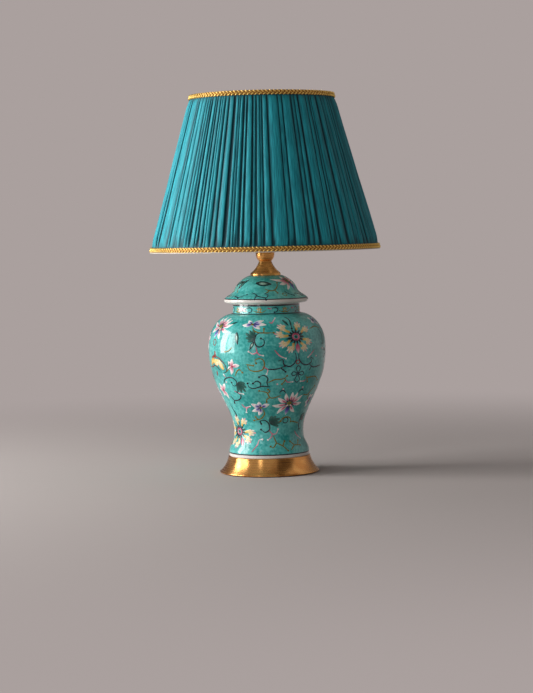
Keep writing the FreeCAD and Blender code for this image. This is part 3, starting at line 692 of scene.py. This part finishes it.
def brush(place, points, wide, shape, colors, edge=None, layer=0):
    # one stroke of enamel: it runs through its colors from start to end, and can turn into edge at its sides
    canvas = place[0]
    line = smoothLine(points)
    share = np.linspace(0, 1, len(line))
    half = wide / 2 * np.interp(share, np.linspace(0, 1, len(strokeShapes[shape])), strokeShapes[shape])
    ahead = np.gradient(line, axis=0)
    ahead /= np.maximum(np.hypot(ahead[:, 0], ahead[:, 1]), 0.000001)[:, None]
    left = np.column_stack([-ahead[:, 1], ahead[:, 0]])
    mixed = np.array([paint(*enamel[color]) for color in colors])
    tint = np.column_stack([np.interp(share, np.linspace(0, 1, len(colors)), mixed[:, k]) for k in range(4)])
    first, count = canvas["count"], len(line)
    for out, tall in strokeSection:
        lift = enamel["lift"] * tall + enamel["layer"] * layer if tall else enamel["sunk"]
        canvas["points"].append(onGlaze(place, line + left * (out * half)[:, None], lift))
        blend = out * out if edge else 0.0
        canvas["tints"].append(tint * (1 - blend) + np.array(paint(*enamel[edge or "white"])) * blend)
    rows = [first + row * count for row in range(len(strokeSection))]
    for here, there in zip(rows, rows[1:] + rows[:1]):
        canvas["faces"] += [(here + k, here + k + 1, there + k + 1, there + k) for k in range(count - 1)]
    canvas["faces"].append(tuple(rows))
    canvas["faces"].append(tuple(row + count - 1 for row in reversed(rows)))
    canvas["count"] = rows[-1] + count


def spotOn(half, spotTurn, height, size=1.0, tilt=0):
    # a motif's place: its canvas, the outline that it lies on, its turn and height, and its size and tilt
    canvas, side, turn = half
    return canvas, side, turn + spotTurn, height, size, tilt


def polar(angle, reach, spread=1.0):
    return spread * reach * math.cos(math.radians(angle)), reach * math.sin(math.radians(angle))


def petal(place, angle, near, far, wide, shape, colors, edge=None, spread=1.0, bend=0.0, layer=0):
    size, tilt = place[4:]
    angle, near, far = angle + tilt, near * size, far * size
    middle = polar(angle + bend, (near + far) / 2, spread)
    points = [polar(angle, near, spread), middle, polar(angle, far, spread)]
    brush(place, points, wide * size, shape, colors, edge, layer)


def ring(place, reach, wide, colors, edge=None, spread=1.0, layer=0):
    size = place[4]
    points = [polar(30 * k, reach * size, spread) for k in range(13)]
    brush(place, points, wide * size, "even", colors, edge, layer)


def dot(place, across, up, wide, colors, layer=2):
    across, up, wide = (measure * place[4] for measure in (across, up, wide))
    reach = wide * 0.42
    brush(place, [(across - reach, up), (across + reach, up)], wide, "round", colors, None, layer)


def vine(half, wide, colors, spots, end=None):
    # a scroll through spots (turn in degrees, height in mm) on one half of the jar or lid, which may end in a
    # bud, or in a curl: (1 to the left or -1 to the right, its size)
    side = half[1]
    startTurn, startHeight = spots[0]
    zero = np.interp(startHeight, side["height"], side["along"])
    points = []
    for spotTurn, height in spots:
        along = np.interp(height, side["height"], side["along"])
        points.append((math.radians(spotTurn - startTurn) * read(side, "radius", along), along - zero))
    if end and end != "bud":
        way, size = end
        (oldX, oldY), (x, y) = points[-2:]
        heading = math.atan2(y - oldY, x - oldX)
        for k in range(6):
            heading += way * 0.95
            stride = size * (1 - 0.13 * k)
            x, y = x + stride * math.cos(heading), y + stride * math.sin(heading)
            points.append((x, y))
    place = spotOn(half, startTurn, startHeight)
    if end:
        dot(place, *points[-1], wide * 1.5, (colors[-1],), 1)
    brush(place, points, wide, "line", colors)


def peony(place):
    # a dark halo, yellow petals that part into white and pink fingers, one pink petal below, and a pink ring
    wide = 1.2
    for k in range(13):
        petal(place, k * 27.7, 6, 14 + 2.5 * (k % 2), 5.0, "pointed", ("navy", "ink", "leaf"), spread=wide)
    for angle, far in ((72, 28), (33, 29), (-24, 29), (-58, 29), (-116, 29), (-150, 30), (169, 31),
                       (136, 32)):
        petal(place, angle, 12, far - 5, 12, "fan", ("amber", "yellow", "cream", "cream"), None, wide, 5, 1)
        for fan, reach, color in ((-13, -5, "pink"), (-8.5, -0.5, "white"), (0, 1.5, "pink"),
                                  (8.5, -0.5, "white"), (13, -5, "rose")):
            petal(place, angle + fan, far - 9, far + reach, 3.8, "round", ("yellow", "cream", color),
                  None, wide, fan * -0.2, 2)
    petal(place, -86, 12, 28, 10, "pointed", ("rose", "pink", "white"), "rose", wide, layer=2)
    dot(place, 0, 0, 6, ("leaf",), 1)
    ring(place, 7.6, 1.8, ("ink",), spread=wide, layer=1)
    ring(place, 5.0, 3.8, ("pink", "rose", "pink", "rose", "pink"), "rose", wide, layer=2)


def lotus(place):
    for k in range(12):
        petal(place, k * 30 + 10, 4, 10 + k % 2, 3.6, "pointed", ("ink", "navy"))
    for angle, far in ((150, 26), (116, 23), (84, 23), (58, 25), (32, 29), (2, 26), (-50, 22), (-136, 26),
                       (184, 30)):
        bend = 5 if angle > 90 else -5
        petal(place, angle, 7.5, far, 8.2, "pointed", ("rose", "pink", "white", "white", "white"),
              "white", 1.0, bend, 1)
        petal(place, angle, 7, far * 0.66, 3.0, "pointed", ("rose", "pink"), None, 1.0, bend, 2)
    petal(place, -98, 5, 21, 8.5, "pointed", ("navy", "blue", "violet", "white"), layer=1)
    dot(place, 0, 0.8, 10.5, ("olive", "ochre"), 2)
    for angle in (-140, -40):
        petal(place, angle, 2, 8, 3.6, "round", ("white", "pink"), layer=3)


def blueFlower(place, petals):
    for angle, far in petals:
        petal(place, angle, 1.5, far, 9.2, "pointed",
              ("navy", "blue", "violet", "white", "white", "white"), "white", 1.0, 4, 1)
    for angle, far in petals:
        petal(place, angle, 1.5, far * 0.55, 2.4, "pointed", ("navy", "blue"), layer=2)
    dot(place, 0, 0, 4.8, ("ochre",), 3)


def pinkFlower(place):
    for angle, far in ((85, 13), (131, 12), (8, 15), (199, 11), (252, 15)):
        petal(place, angle, 1, far, 8.2, "pointed", ("rose", "pink", "white", "white"), "white", 1.0, 4, 1)
    dot(place, 0, 0, 4, ("rose",), 3)


def plume(place, angle, size):
    # a soft dark feather that opens beside a scroll
    for k, fan in enumerate((-60, -36, -12, 12, 36)):
        petal(place, angle + fan, 0.5, size * (1.04 - 0.12 * abs(k - 2)), size * 0.36, "round",
              ("ink", "leaf", "sage"), "leaf", 1.0, 8, k % 2)


def leaf(place, angle, length, wide, middle):
    # a dark outlined leaf with a paler middle
    petal(place, angle, -length / 2, length / 2, wide, "pointed", ("ink", "leaf", "ink"), "ink")
    petal(place, angle, -length * 0.34, length * 0.26, wide * 0.45, "pointed",
          ("leaf", middle, middle, "leaf"), layer=2)


def knot(place):
    # four loops tied at the middle
    for angle, far in ((90, 13), (180, 11.5), (0, 11.5), (270, 15)):
        points = [polar(angle + fan, far * reach * place[4]) for fan, reach in
                  ((0, 0.05), (-26, 0.45), (-21, 0.85), (0, 1.05), (21, 0.85), (26, 0.45), (0, 0.05))]
        brush(place, points, 2.1, "even", ("navy", "ink"))


def batMotif(place):
    # yellow wings with a dark scalloped edge, a rust crown above and a rust drop below
    for points, wide, shape, colors, edge, layer in (
            ([(-21, -5), (-13, 2), (-2, 2)], 12, "round", ("yellow", "yellow"), "rust", 1),
            ([(-7, 1), (7, -1)], 14, "round", ("yellow", "cream"), None, 2),
            ([(0, 3), (11, -1), (20, -12)], 12, "round", ("yellow", "cream", "yellow"), "amber", 2),
            ([(3, 10), (14, 6), (26, -5), (25, -16), (16, -18)], 2.6, "line", ("rust", "ink"), None, 1),
            ([(-25, -8), (-17, -9), (-8, -6), (2, -8), (10, -14)], 2.4, "line", ("rust", "ink"), None, 3),
            ([(-14, 8), (-6, 10), (2, 9)], 5.4, "round", ("rust", "rust"), None, 3)):
        brush(place, points, wide, shape, colors, edge, layer)
    petal(place, 94, 9, 20, 7, "pointed", ("rust", "rust"), layer=3)
    petal(place, -100, 15, 26, 5, "pointed", ("rust", "rust"))


def lidFlower(place):
    for k in range(10):
        petal(place, k * 36, 3, 9, 3, "pointed", ("ink", "navy"))
    for angle, far in ((172, 32), (200, 25), (238, 22), (-68, 22), (-30, 20), (10, 22), (45, 15), (120, 15)):
        colors = ("navy", "blue", "violet") if angle == -68 else ("rose", "pink", "white", "white", "white")
        petal(place, angle, 5, far, 8.4, "pointed", colors, None, 1.0, 5, 1)
    dot(place, 0, 0, 8, ("olive", "ochre"), 2)


# what is painted on one half of the jar; the other half repeats it. A motif has its place, as turn and height
# and perhaps size and tilt, and its own measures. Vines of one kind share a width, colours and an end.
jarMotifs = (
    (plume, (-11, 240), 168, 19), (plume, (-35, 162), -38, 20), (plume, (2, 90), 40, 19),
    (plume, (62, 92), 70, 15), (plume, (90, 176), 200, 15),
    (leaf, (-15, 227), -118, 16, 7, "mint"), (leaf, (-31, 239), -78, 22, 9, "mint"),
    (leaf, (-40, 195), 100, 12, 6, "sage"), (leaf, (-40, 264), 30, 12, 5, "leaf"),
    (leaf, (-57, 107), -70, 16, 5, "leaf"), (leaf, (22, 264), -60, 15, 6, "leaf"),
    (peony, (30, 240)), (peony, (-57, 75, 1.0, 22)), (lotus, (28, 124)), (lotus, (-60, 257, 1.05, -20)),
    (blueFlower, (-16, 262), ((184, 18), (129, 12), (26, 20), (-2, 24), (-32, 17))),
    (blueFlower, (-10, 119), ((104, 12), (156, 18), (205, 18), (252, 16), (23, 16))),
    (blueFlower, (70, 265), ((150, 14), (200, 14), (20, 16), (-40, 16))),
    (blueFlower, (66, 126), ((110, 14), (60, 14), (240, 13), (190, 12))),
    (blueFlower, (95, 138), ((80, 14), (140, 15), (20, 15), (-60, 14), (215, 15))),
    (pinkFlower, (-37, 191)), (pinkFlower, (-61, 148, 1.15, 40)), (pinkFlower, (93, 233, 1.1, 15)),
    (pinkFlower, (94, 78, 0.9, -30)),
    (ring, (-63, 231), 5.0, 2.1, ("rust",)), (ring, (31, 197), 3.4, 2.1, ("rust",)),
    (ring, (27, 95), 5.0, 2.1, ("ink",)), (ring, (93, 207), 3.8, 2.1, ("rust",)),
    (knot, (32, 177)), (knot, (92, 108, 0.7)), (batMotif, (-61, 197)),
)
jarVines = (
    (2.8, ("ochre", "ochre"), "bud", (
        ((-15, 259), (-14, 253), (-9, 249), (-3, 248), (7, 248)), ((-3, 248), (-3, 255)),
        ((-21, 195), (-14, 193)),
        ((-20, 195), (-18, 186), (-12, 183), (-5, 186), (-3, 194), (-4, 202), (-8, 205), (-12, 202),
         (-11, 197)),
        ((-45, 182), (-41, 188)), ((-35, 175), (-32, 183), (-29, 186), (-26, 181)),
        ((0, 163), (7, 168), (16, 169), (20, 174)),
        ((18, 170), (18, 165), (15, 160)), ((43, 173), (45, 169), (59, 169), (67, 162)),
        ((45, 169), (47, 161)), ((15, 140), (7, 136), (2, 137), (-1, 145), (-4, 147), (-10, 149)),
        ((2, 137), (-2, 133), (-2, 129)), ((-1, 144), (2, 148), (0, 151)),
        ((46, 139), (55, 138), (61, 146), (65, 152)), ((57, 139), (59, 131)),
        ((-7, 116), (-6, 107), (-12, 99), (-23, 96)), ((-16, 97), (-20, 102)),
        ((7, 69), (10, 61), (11, 56), (6, 49), (2, 51)), ((11, 57), (21, 51), (28, 43)),
        ((21, 51), (25, 59)), ((33, 43), (42, 51), (54, 50)), ((42, 51), (35, 58)), ((49, 51), (53, 58)),
        ((8, 90), (19, 94)), ((37, 93), (52, 89)), ((19, 92), (21, 98), (28, 101), (35, 98), (37, 92)),
        ((51, 252), (62, 255), (70, 252)), ((-36, 224), (-40, 218), (-45, 216)),
        ((84, 190), (96, 196), (100, 188)), ((86, 58), (94, 50), (104, 56)))),
    (2.9, ("ink", "ink"), "bud", (
        ((-3, 249), (-9, 247), (-12, 240), (-12, 233), (-10, 226), (-6, 225), (-3, 229), (-3, 236),
         (-6, 239)),
        ((-57, 154), (-52, 167), (-43, 172), (-37, 169), (-35, 162), (-38, 157), (-41, 158), (-42, 163)),
        ((-51, 139), (-47, 131), (-38, 133), (-34, 140), (-38, 146)),
        ((2, 156), (-5, 157), (-9, 156), (-16, 153), (-21, 156), (-22, 162)),
        ((-8, 157), (-8, 163), (-12, 166), (-16, 162)),
        ((0, 157), (-1, 164), (0, 171), (-4, 176), (-9, 173)), ((-2, 187), (5, 186), (11, 187), (17, 191)),
        ((13, 188), (18, 181)), ((-14, 95), (-6, 96), (0, 90), (1, 80), (-6, 75), (-13, 80)),
        ((-14, 95), (-12, 90)), ((-61, 122), (-58, 108), (-54, 90)), ((60, 99), (57, 88), (60, 77)),
        ((69, 249), (72, 238), (69, 225)), ((24, 273), (28, 268), (27, 254)), ((-47, 131), (-49, 126)))),
    (2.8, ("ink", "ink"), (-1, 3.4), (((80, 252), (88, 246), (96, 250)),)),
    (2.8, ("ink", "ink"), (1, 3.2), (((82, 170), (90, 164), (99, 168)),)),
    (2.8, ("ink", "ink"), (1, 3.0), (((72, 200), (78, 208), (76, 216)),)),
    (3.0, ("navy", "ink"), None, (
        ((28, 213), (29, 203), (27, 195), (22, 190), (16, 194), (15, 202), (10, 200)),
        ((32, 213), (32, 203), (36, 194), (42, 191), (48, 195), (47, 203), (52, 199)),
        ((46, 191), (53, 186), (65, 188)), ((49, 188), (46, 180)), ((13, 145), (17, 149), (21, 144)),
        ((37, 143), (42, 149), (45, 145)))),
    (2.5, ("rose", "pink", "white"), "bud", (
        ((-11, 225), (-10, 216), (-14, 213), (-18, 217)), ((-10, 217), (-8, 212), (-4, 210)),
        ((19, 167), (21, 163), (27, 163)), ((44, 166), (42, 163), (37, 163)),
        ((-5, 191), (0, 186), (-1, 178)), ((7, 219), (12, 209), (18, 204)),
        ((52, 216), (48, 210), (43, 204)), ((-42, 148), (-37, 145), (-30, 143)),
        ((-37, 125), (-33, 119), (-25, 121)), ((-25, 121), (-31, 117), (-33, 110)),
        ((0, 79), (6, 72), (12, 73), (15, 80)), ((5, 72), (4, 67), (-2, 62)),
        ((-26, 42), (-19, 53), (-16, 62), (-11, 63)), ((47, 75), (52, 68), (61, 61)),
        ((3, 266), (6, 264), (11, 272)), ((-49, 172), (-51, 176)), ((84, 118), (90, 122), (96, 118)))),
)
jarDots = ((17, 151), (42, 152), (-50, 163), (68, 217), (-20, 124), (10, 160), (55, 205), (88, 218))
lidMotifs = ((lidFlower, (56, 334)), (leaf, (-54, 330), 55, 26, 10, "sage"),
             (leaf, (-4, 330), -6, 27, 14, "mint"), (leaf, (112, 331), 20, 24, 11, "sage"))
lidVines = (
    (2.6, ("ochre",), "bud", (
        ((-2, 321), (7, 318), (16, 319), (22, 325), (24, 331)), ((16, 319), (20, 314)), ((7, 319), (2, 315)),
        ((-64, 321), (-60, 316)), ((92, 322), (98, 316), (106, 318), (110, 325)))),
    (2.5, ("ink", "navy"), "bud", (
        ((-60, 308), (-53, 309), (-44, 307), (-32, 312)), ((-46, 308), (-43, 304)),
        ((-25, 315), (-18, 313), (-12, 309), (-3, 307), (1, 307), (3, 311), (-1, 313)),
        ((-15, 310), (-16, 304)), ((-1, 307), (0, 303)), ((52, 312), (60, 312), (67, 308)),
        ((70, 307), (80, 310), (90, 306), (97, 309)), ((34, 317), (40, 312), (47, 309)))),
)
lidRings = ((ring, (31, 311), 4, 1.8, ("ochre",)), (ring, (108, 309), 3.4, 1.8, ("rust",)))


def paintMotifs(half, motifs):
    for motif, spot, *measures in motifs:
        motif(spotOn(half, *spot), *measures)


def paintVines(half, vines):
    for wide, colors, end, scrolls in vines:
        for spots in scrolls:
            vine(half, wide, colors, spots, end)


def paintJar(half):
    paintMotifs(half, jarMotifs)
    paintVines(half, jarVines)
    paintMotifs(half, [(dot, spot, 0, 0, 3.6, ("pink", "white")) for spot in jarDots])


def paintNeck(whole):
    # a running band of curls, small ochre flowers and pink strokes
    canvas, side, start = whole
    for k in range(8):
        part = (canvas, side, start + 45 * k)
        vine(part, 2.3, ("ink", "navy"), ((-6, 288), (0, 289), (4, 286), (2, 282), (-2, 281)), "bud")
        place = spotOn(part, 17, 285.5)
        for angle in (10, 60, 120, 170, 230, 310):
            petal(place, angle, 0.8, 4.8, 2.2, "round", ("ochre", "amber"))
        dot(place, 0, 0, 2.6, ("cream",))
        vine(part, 1.9, ("ochre",), ((6, 284), (11, 282), (17, 281), (24, 282), (29, 286)))
        vine(part, 2.6, ("rose", "pink"), ((31, 288), (38, 287)))
        if k % 4 == 0:
            place = spotOn(part, -16, 285)
            for angle, far in ((160, 12), (190, 11), (20, 10), (-15, 11), (90, 5)):
                petal(place, angle, 0, far, 5, "pointed", ("pink", "white", "white"), layer=1)


def paintLid(half):
    paintMotifs(half, lidMotifs)
    paintVines(half, lidVines)
    paintMotifs(half, lidRings)


def makeEnamel():
    material, tree, shader = newMaterial("enamelColors", enamel["white"], enamel["roughness"],
                                         Coat_Weight=0.2, Coat_Roughness=0.1)
    laid = addNode(tree, "ShaderNodeAttribute", attribute_name="paint").outputs["Color"]
    uneven = effect(tree, mottle, Scale=160.0, Grain=0.5)["Value"]
    shade = blendColors(tree, remap(tree, uneven, 0.35, 0.65), (0.82, 0.82, 0.82, 1), (1, 1, 1, 1))
    both = {0: 1.0, 6: laid, 7: shade}
    color = addNode(tree, "ShaderNodeMix", both, data_type="RGBA", blend_type="MULTIPLY").outputs[2]
    feed(tree, shader, color, remap(tree, uneven, 0.3, 0.7, 0.18, 0.3), uneven, 0.00005, 0.3)
    return material


def makePainting(name, paintHalf, side, *turns):
    canvas = {"points": [], "tints": [], "faces": [], "count": 0}
    for turn in turns:
        paintHalf((canvas, side, turn))
    piece = meshPiece(name, np.vstack(canvas["points"]).tolist(), canvas["faces"])
    layer = piece.data.color_attributes.new("paint", "FLOAT_COLOR", "POINT")
    layer.data.foreach_set("color", np.vstack(canvas["tints"]).astype(np.float32).ravel())
    bpy.ops.object.shade_smooth_by_angle(angle=math.radians(enamel["crease"]))
    print(name, "has", len(canvas["points"]) // len(strokeSection), "strokes")
    seat(piece, "base", "enamelled_porcelain", material=enamelColors)


enamelColors = makeEnamel()
jarSide = sideOf(jarLoop)
makePainting("painting_front", paintJar, jarSide, 0)
makePainting("painting_back", paintJar, jarSide, 180)
makePainting("painted_neck_band", paintNeck, jarSide, -29)
makePainting("painted_lid", paintLid, sideOf(lidLoop), 0, 180)


# Felt pad, with a ring of faces at its edge that keeps it sharp

felt = {"rings": 128, "edge": 0.6 * mm, "band": 10 * mm}


def makeFeltPad():
    low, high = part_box("felt_pad")
    pad = drawCircle("felt_disc", felt["rings"], high.x, high.z, "NGON")
    bpy.ops.mesh.inset(thickness=felt["edge"])
    bpy.ops.mesh.inset(thickness=felt["band"])
    bpy.ops.mesh.poke()
    bpy.ops.object.mode_set(mode="OBJECT")
    thicken(pad, high.z - low.z)
    bpy.ops.object.shade_smooth_by_angle(angle=math.radians(turned["crease"]))
    seat(pad, "base", "felt", "felt_pad")


makeFeltPad()


# Shade: the lining, the gathered cover and the two braids follow the cone of the frame's own hems

coverLow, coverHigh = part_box("shade_cover")
liningLow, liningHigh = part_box("shade_lining")
bottomBraidLow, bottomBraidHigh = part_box("bottom_braid")
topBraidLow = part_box("top_braid")[0]

# widths are shares of a middling fold; a tuck is a short dent above the bottom braid
cover = {
    "folds": 104, "rows": 40, "seed": 11, "cloth": 0.4 * mm, "hemFade": 14 * mm,
    "ridge": 3.7 * mm, "valley": -1.1 * mm, "deepest": -1.15 * mm, "valleys": (1.0, 1.0, 1.0, 0.7, 0.4),
    "widths": (0.55, 0.65, 0.8, 1.0, 1.25, 1.6, 2.1), "lean": 0.2,
    "across": (0.0, 0.06, 0.16, 0.32, 0.50, 0.68, 0.84, 0.94, 1.0),
    "gap": (0.03, 0.09), "wideGap": (0.16, 0.34), "wideGapShare": 0.25,
    "tucks": 150, "tuckDepth": 2.3 * mm, "tuckHeight": (14 * mm, 46 * mm), "tuckWidth": (1.3 * mm, 2.6 * mm),
    "ripples": 7, "rippleCount": (150, 420), "rippleDepth": (0.02, 0.05),
}


def ease(share):
    return share * share * (3 - 2 * share)


def makeFolds():
    # for each fold: its share of the way round, height, lean, the flat gap after it, and how deep that falls
    draw = random.Random(cover["seed"])
    widths = [draw.choice(cover["widths"]) * draw.uniform(0.85, 1.15) for _ in range(cover["folds"])]
    folds = []
    start = 0.0
    for width in widths:
        fold = {"start": start, "share": width / sum(widths), "flat": 2.2 + 1.1 * width}
        fold["gap"] = draw.uniform(*cover["wideGap" if draw.random() < cover["wideGapShare"] else "gap"])
        fold["height"] = draw.uniform(0.5, 1.0) * min(1.1, 0.28 + 0.64 * width)
        fold["lean"] = draw.uniform(-1, 1)
        fold["wave"] = draw.uniform(0, 6.28)
        fold["pace"] = draw.uniform(0.4, 1.3)
        fold["deep"] = draw.choice(cover["valleys"])
        folds.append(fold)
        start += fold["share"]
    return folds


def drawTucks(draw):
    # for each tuck: where it is round the hem, how tall, how deep and how wide
    return [(draw.random() * 2 * math.pi, draw.uniform(*cover["tuckHeight"]), draw.uniform(0.45, 1.0),
             draw.uniform(*cover["tuckWidth"])) for _ in range(cover["tucks"])]


def drawRipples(draw):
    # waves all round the cloth: how many, where they start, how they drift upwards and how deep they are
    return [(draw.randint(*cover["rippleCount"]), draw.uniform(0, 6.28), draw.uniform(-9, 9),
             draw.uniform(*cover["rippleDepth"]) * mm) for _ in range(cover["ripples"])]


def pressIn(out, angle, base, tucks):
    # how far out the cloth still stands where tucks press it in
    for place, fade, much, wide in tucks:
        gap = abs((angle - place + math.pi) % (2 * math.pi) - math.pi) * base
        if gap < 3 * wide:
            reach = wide * (0.4 + 0.6 * fade)
            out -= much * cover["tuckDepth"] * fade * math.exp(-(gap / reach) ** 2)
    return out


def coverRow(height, rise, folds, tucks, ripples):
    # one row of the cloth all the way round, as (angle, radius)
    edge = min(height - bottomBraidHigh.z, topBraidLow.z - height)
    free = max(0.0, min(1.0, edge / cover["hemFade"]))
    loft = 0.0 if edge < 0 else 0.5 + 0.5 * ease(free)
    base = hemRadius(height)
    above = height - bottomBraidHigh.z
    near = [(place, 1 - max(0.0, above) / tall, much, wide)
            for place, tall, much, wide in tucks if above < tall]
    row = []
    for index, fold in enumerate(folds):
        swell = 0.84 + 0.16 * math.sin(fold["wave"] + fold["pace"] * 6.28 * rise)
        ridge = cover["ridge"] * fold["height"] * swell * (1.0 - 0.25 * rise)
        before, after = (cover["valley"] + (1 - deep) * 0.8 * ridge
                         for deep in (folds[index - 1]["deep"], fold["deep"]))
        for step in cover["across"]:
            arch = max(0.0, 1 - abs(2 * step - 1) ** fold["flat"]) ** 0.8
            ground = before + (after - before) * ease(step)
            side = cover["lean"] * fold["lean"] * arch
            along = (step * (1 - fold["gap"]) + side * loft) * fold["share"]
            angle = 2 * math.pi * (fold["start"] + along)
            out = pressIn(ground + (ridge - ground) * arch, angle, base, near)
            for count, phase, drift, much in ripples:
                out += much * math.sin(count * angle + phase + drift * rise)
            row.append((angle, base + max(out, cover["deepest"]) * loft))
    return row


def makeCover():
    draw = random.Random(cover["seed"] + 1)
    folds, tucks, ripples = makeFolds(), drawTucks(draw), drawRipples(draw)
    low, high = coverLow.z, coverHigh.z
    slant = math.sqrt(1 + hemSlope ** 2)
    middleRadius = hemRadius((low + high) / 2)
    points, uvs = [], []
    for step in range(cover["rows"] + 1):
        share = step / cover["rows"]
        height = low + (high - low) * (share - 0.07 * math.sin(2 * math.pi * share))
        row = coverRow(height, (height - low) / (high - low), folds, tucks, ripples)
        points += [(radius * math.sin(angle), -radius * math.cos(angle), height) for angle, radius in row]
        uvs += [(angle * middleRadius, height * slant) for angle, radius in row]
    columns = len(row)
    faces = []
    for start in range(0, len(points) - columns, columns):
        for column in range(columns):
            beside = (column + 1) % columns
            faces.append((start + column, start + beside, start + columns + beside, start + columns + column))

    def spotOnCloth(face, vertex):
        # the last column of faces closes the seam
        u, v = uvs[vertex]
        closes = face.index % columns == columns - 1 and vertex % columns == 0
        return (u + 2 * math.pi * middleRadius if closes else u), v

    piece = meshPiece("gathered_cover", points, faces)
    mapCloth(piece.data, spotOnCloth)
    bpy.ops.object.shade_smooth()
    thicken(piece, cover["cloth"])
    seat(piece, "shade", "teal_silk", "shade_cover")


lining = {"thickness": 0.5 * mm, "steps": 12, "turnOut": 0.9 * mm, "turnUp": 1.2 * mm, "turnBelow": 0.25 * mm,
          "slack": 0.05 * mm, "rings": 256}


def liningRadius(height):
    return liningStart + liningSlope * height


def makeLining():
    # its hem is turned out under the bottom wire, so it shows as a thin white line below the braid
    low, high = liningLow.z, liningHigh.z
    under = min(low, bottomBraidLow.z) - lining["turnBelow"]
    outside = hemRadius(under) + lining["turnOut"]
    stages = [(outside, under), (liningRadius(low), under)]
    for step in range(lining["steps"] + 1):
        height = low + (high - low) * step / lining["steps"]
        stages.append((liningRadius(height) - lining["slack"], height))
    piece = drawUp("lining_sheet", lining["rings"], (outside, under + lining["turnUp"]), stages)
    bpy.ops.object.shade_smooth()
    mesh = piece.data
    middleRadius = liningRadius((low + high) / 2)

    def spotOnLining(face, vertex):
        co = mesh.vertices[vertex].co
        centre = math.atan2(face.center.x, -face.center.y)
        angle = math.atan2(co.x, -co.y)
        angle += 2 * math.pi * round((centre - angle) / (2 * math.pi))
        return angle * middleRadius, co.z

    mapCloth(mesh, spotOnLining)
    thicken(piece, lining["thickness"])
    seat(piece, "shade", "white_lining", "shade_lining")


braid = {"pitch": 6.8 * mm, "length": 3.5 * mm, "width": 1.12 * mm, "depth": 1.6 * mm, "lean": 40,
         "row": 2.0 * mm, "out": 1.8 * mm, "tape": 0.9 * mm, "tapeOut": 0.15 * mm, "tapeInset": 0.8 * mm,
         "tapeRings": 256}


def makeStrand(side, height):
    # one plump strand of the upper (1) or lower (-1) row, at the front
    startFresh()
    bpy.ops.mesh.primitive_uv_sphere_add(segments=8, ring_count=6, radius=1.0)
    strand = bpy.context.object
    bpy.ops.transform.rotate(value=math.radians(90), orient_axis="Y", center_override=(0, 0, 0))
    bpy.ops.object.transform_apply(location=False, rotation=True, scale=False)
    strand.scale = (braid["length"], braid["depth"], braid["width"])
    bpy.ops.object.transform_apply(location=False, rotation=False, scale=True)
    strand.rotation_euler = (math.atan(hemSlope), math.radians(side * braid["lean"]), 0)
    strand.location = (side * 0.25 * braid["pitch"], -(hemRadius(height) + braid["out"]), height)
    bpy.ops.object.transform_apply(location=True, rotation=True, scale=False)
    return strand


def makeBraid(name, nodeName):
    # two rows of strands that lean against each other, one plait copied all the way round over a tape
    low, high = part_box(nodeName)
    middle = (low.z + high.z) / 2
    count = round(2 * math.pi * (hemRadius(middle) + braid["out"]) / braid["pitch"])
    pick(*[makeStrand(side, middle + side * braid["row"]) for side in (-1, 1)])
    bpy.ops.object.join()
    plait = bpy.context.object
    plait.name = name
    bpy.ops.object.shade_smooth()
    startFresh()
    bpy.ops.object.empty_add(location=(0, 0, 0), rotation=(0, 0, 2 * math.pi / count))
    turn = bpy.context.object
    modify(plait, "ARRAY", count=count, use_relative_offset=False, use_object_offset=True, offset_object=turn)
    bpy.data.objects.remove(turn)
    foot, top = low.z + braid["tapeInset"], high.z - braid["tapeInset"]
    radius = hemRadius(low.z) + braid["tapeOut"]
    upper = (radius + hemSlope * (top - foot), top)
    tape = drawUp("tape", braid["tapeRings"], (radius, foot), [upper], inwards=True)
    thicken(tape, braid["tape"])
    pick(plait, tape)
    bpy.ops.object.join()
    seat(plait, "shade", "gold_braid", nodeName)
    print(name, "has", count, "plaits")


makeCover()
makeLining()
makeBraid("plaited_bottom_braid", "bottom_braid")
makeBraid("plaited_top_braid", "top_braid")
print("shade made")
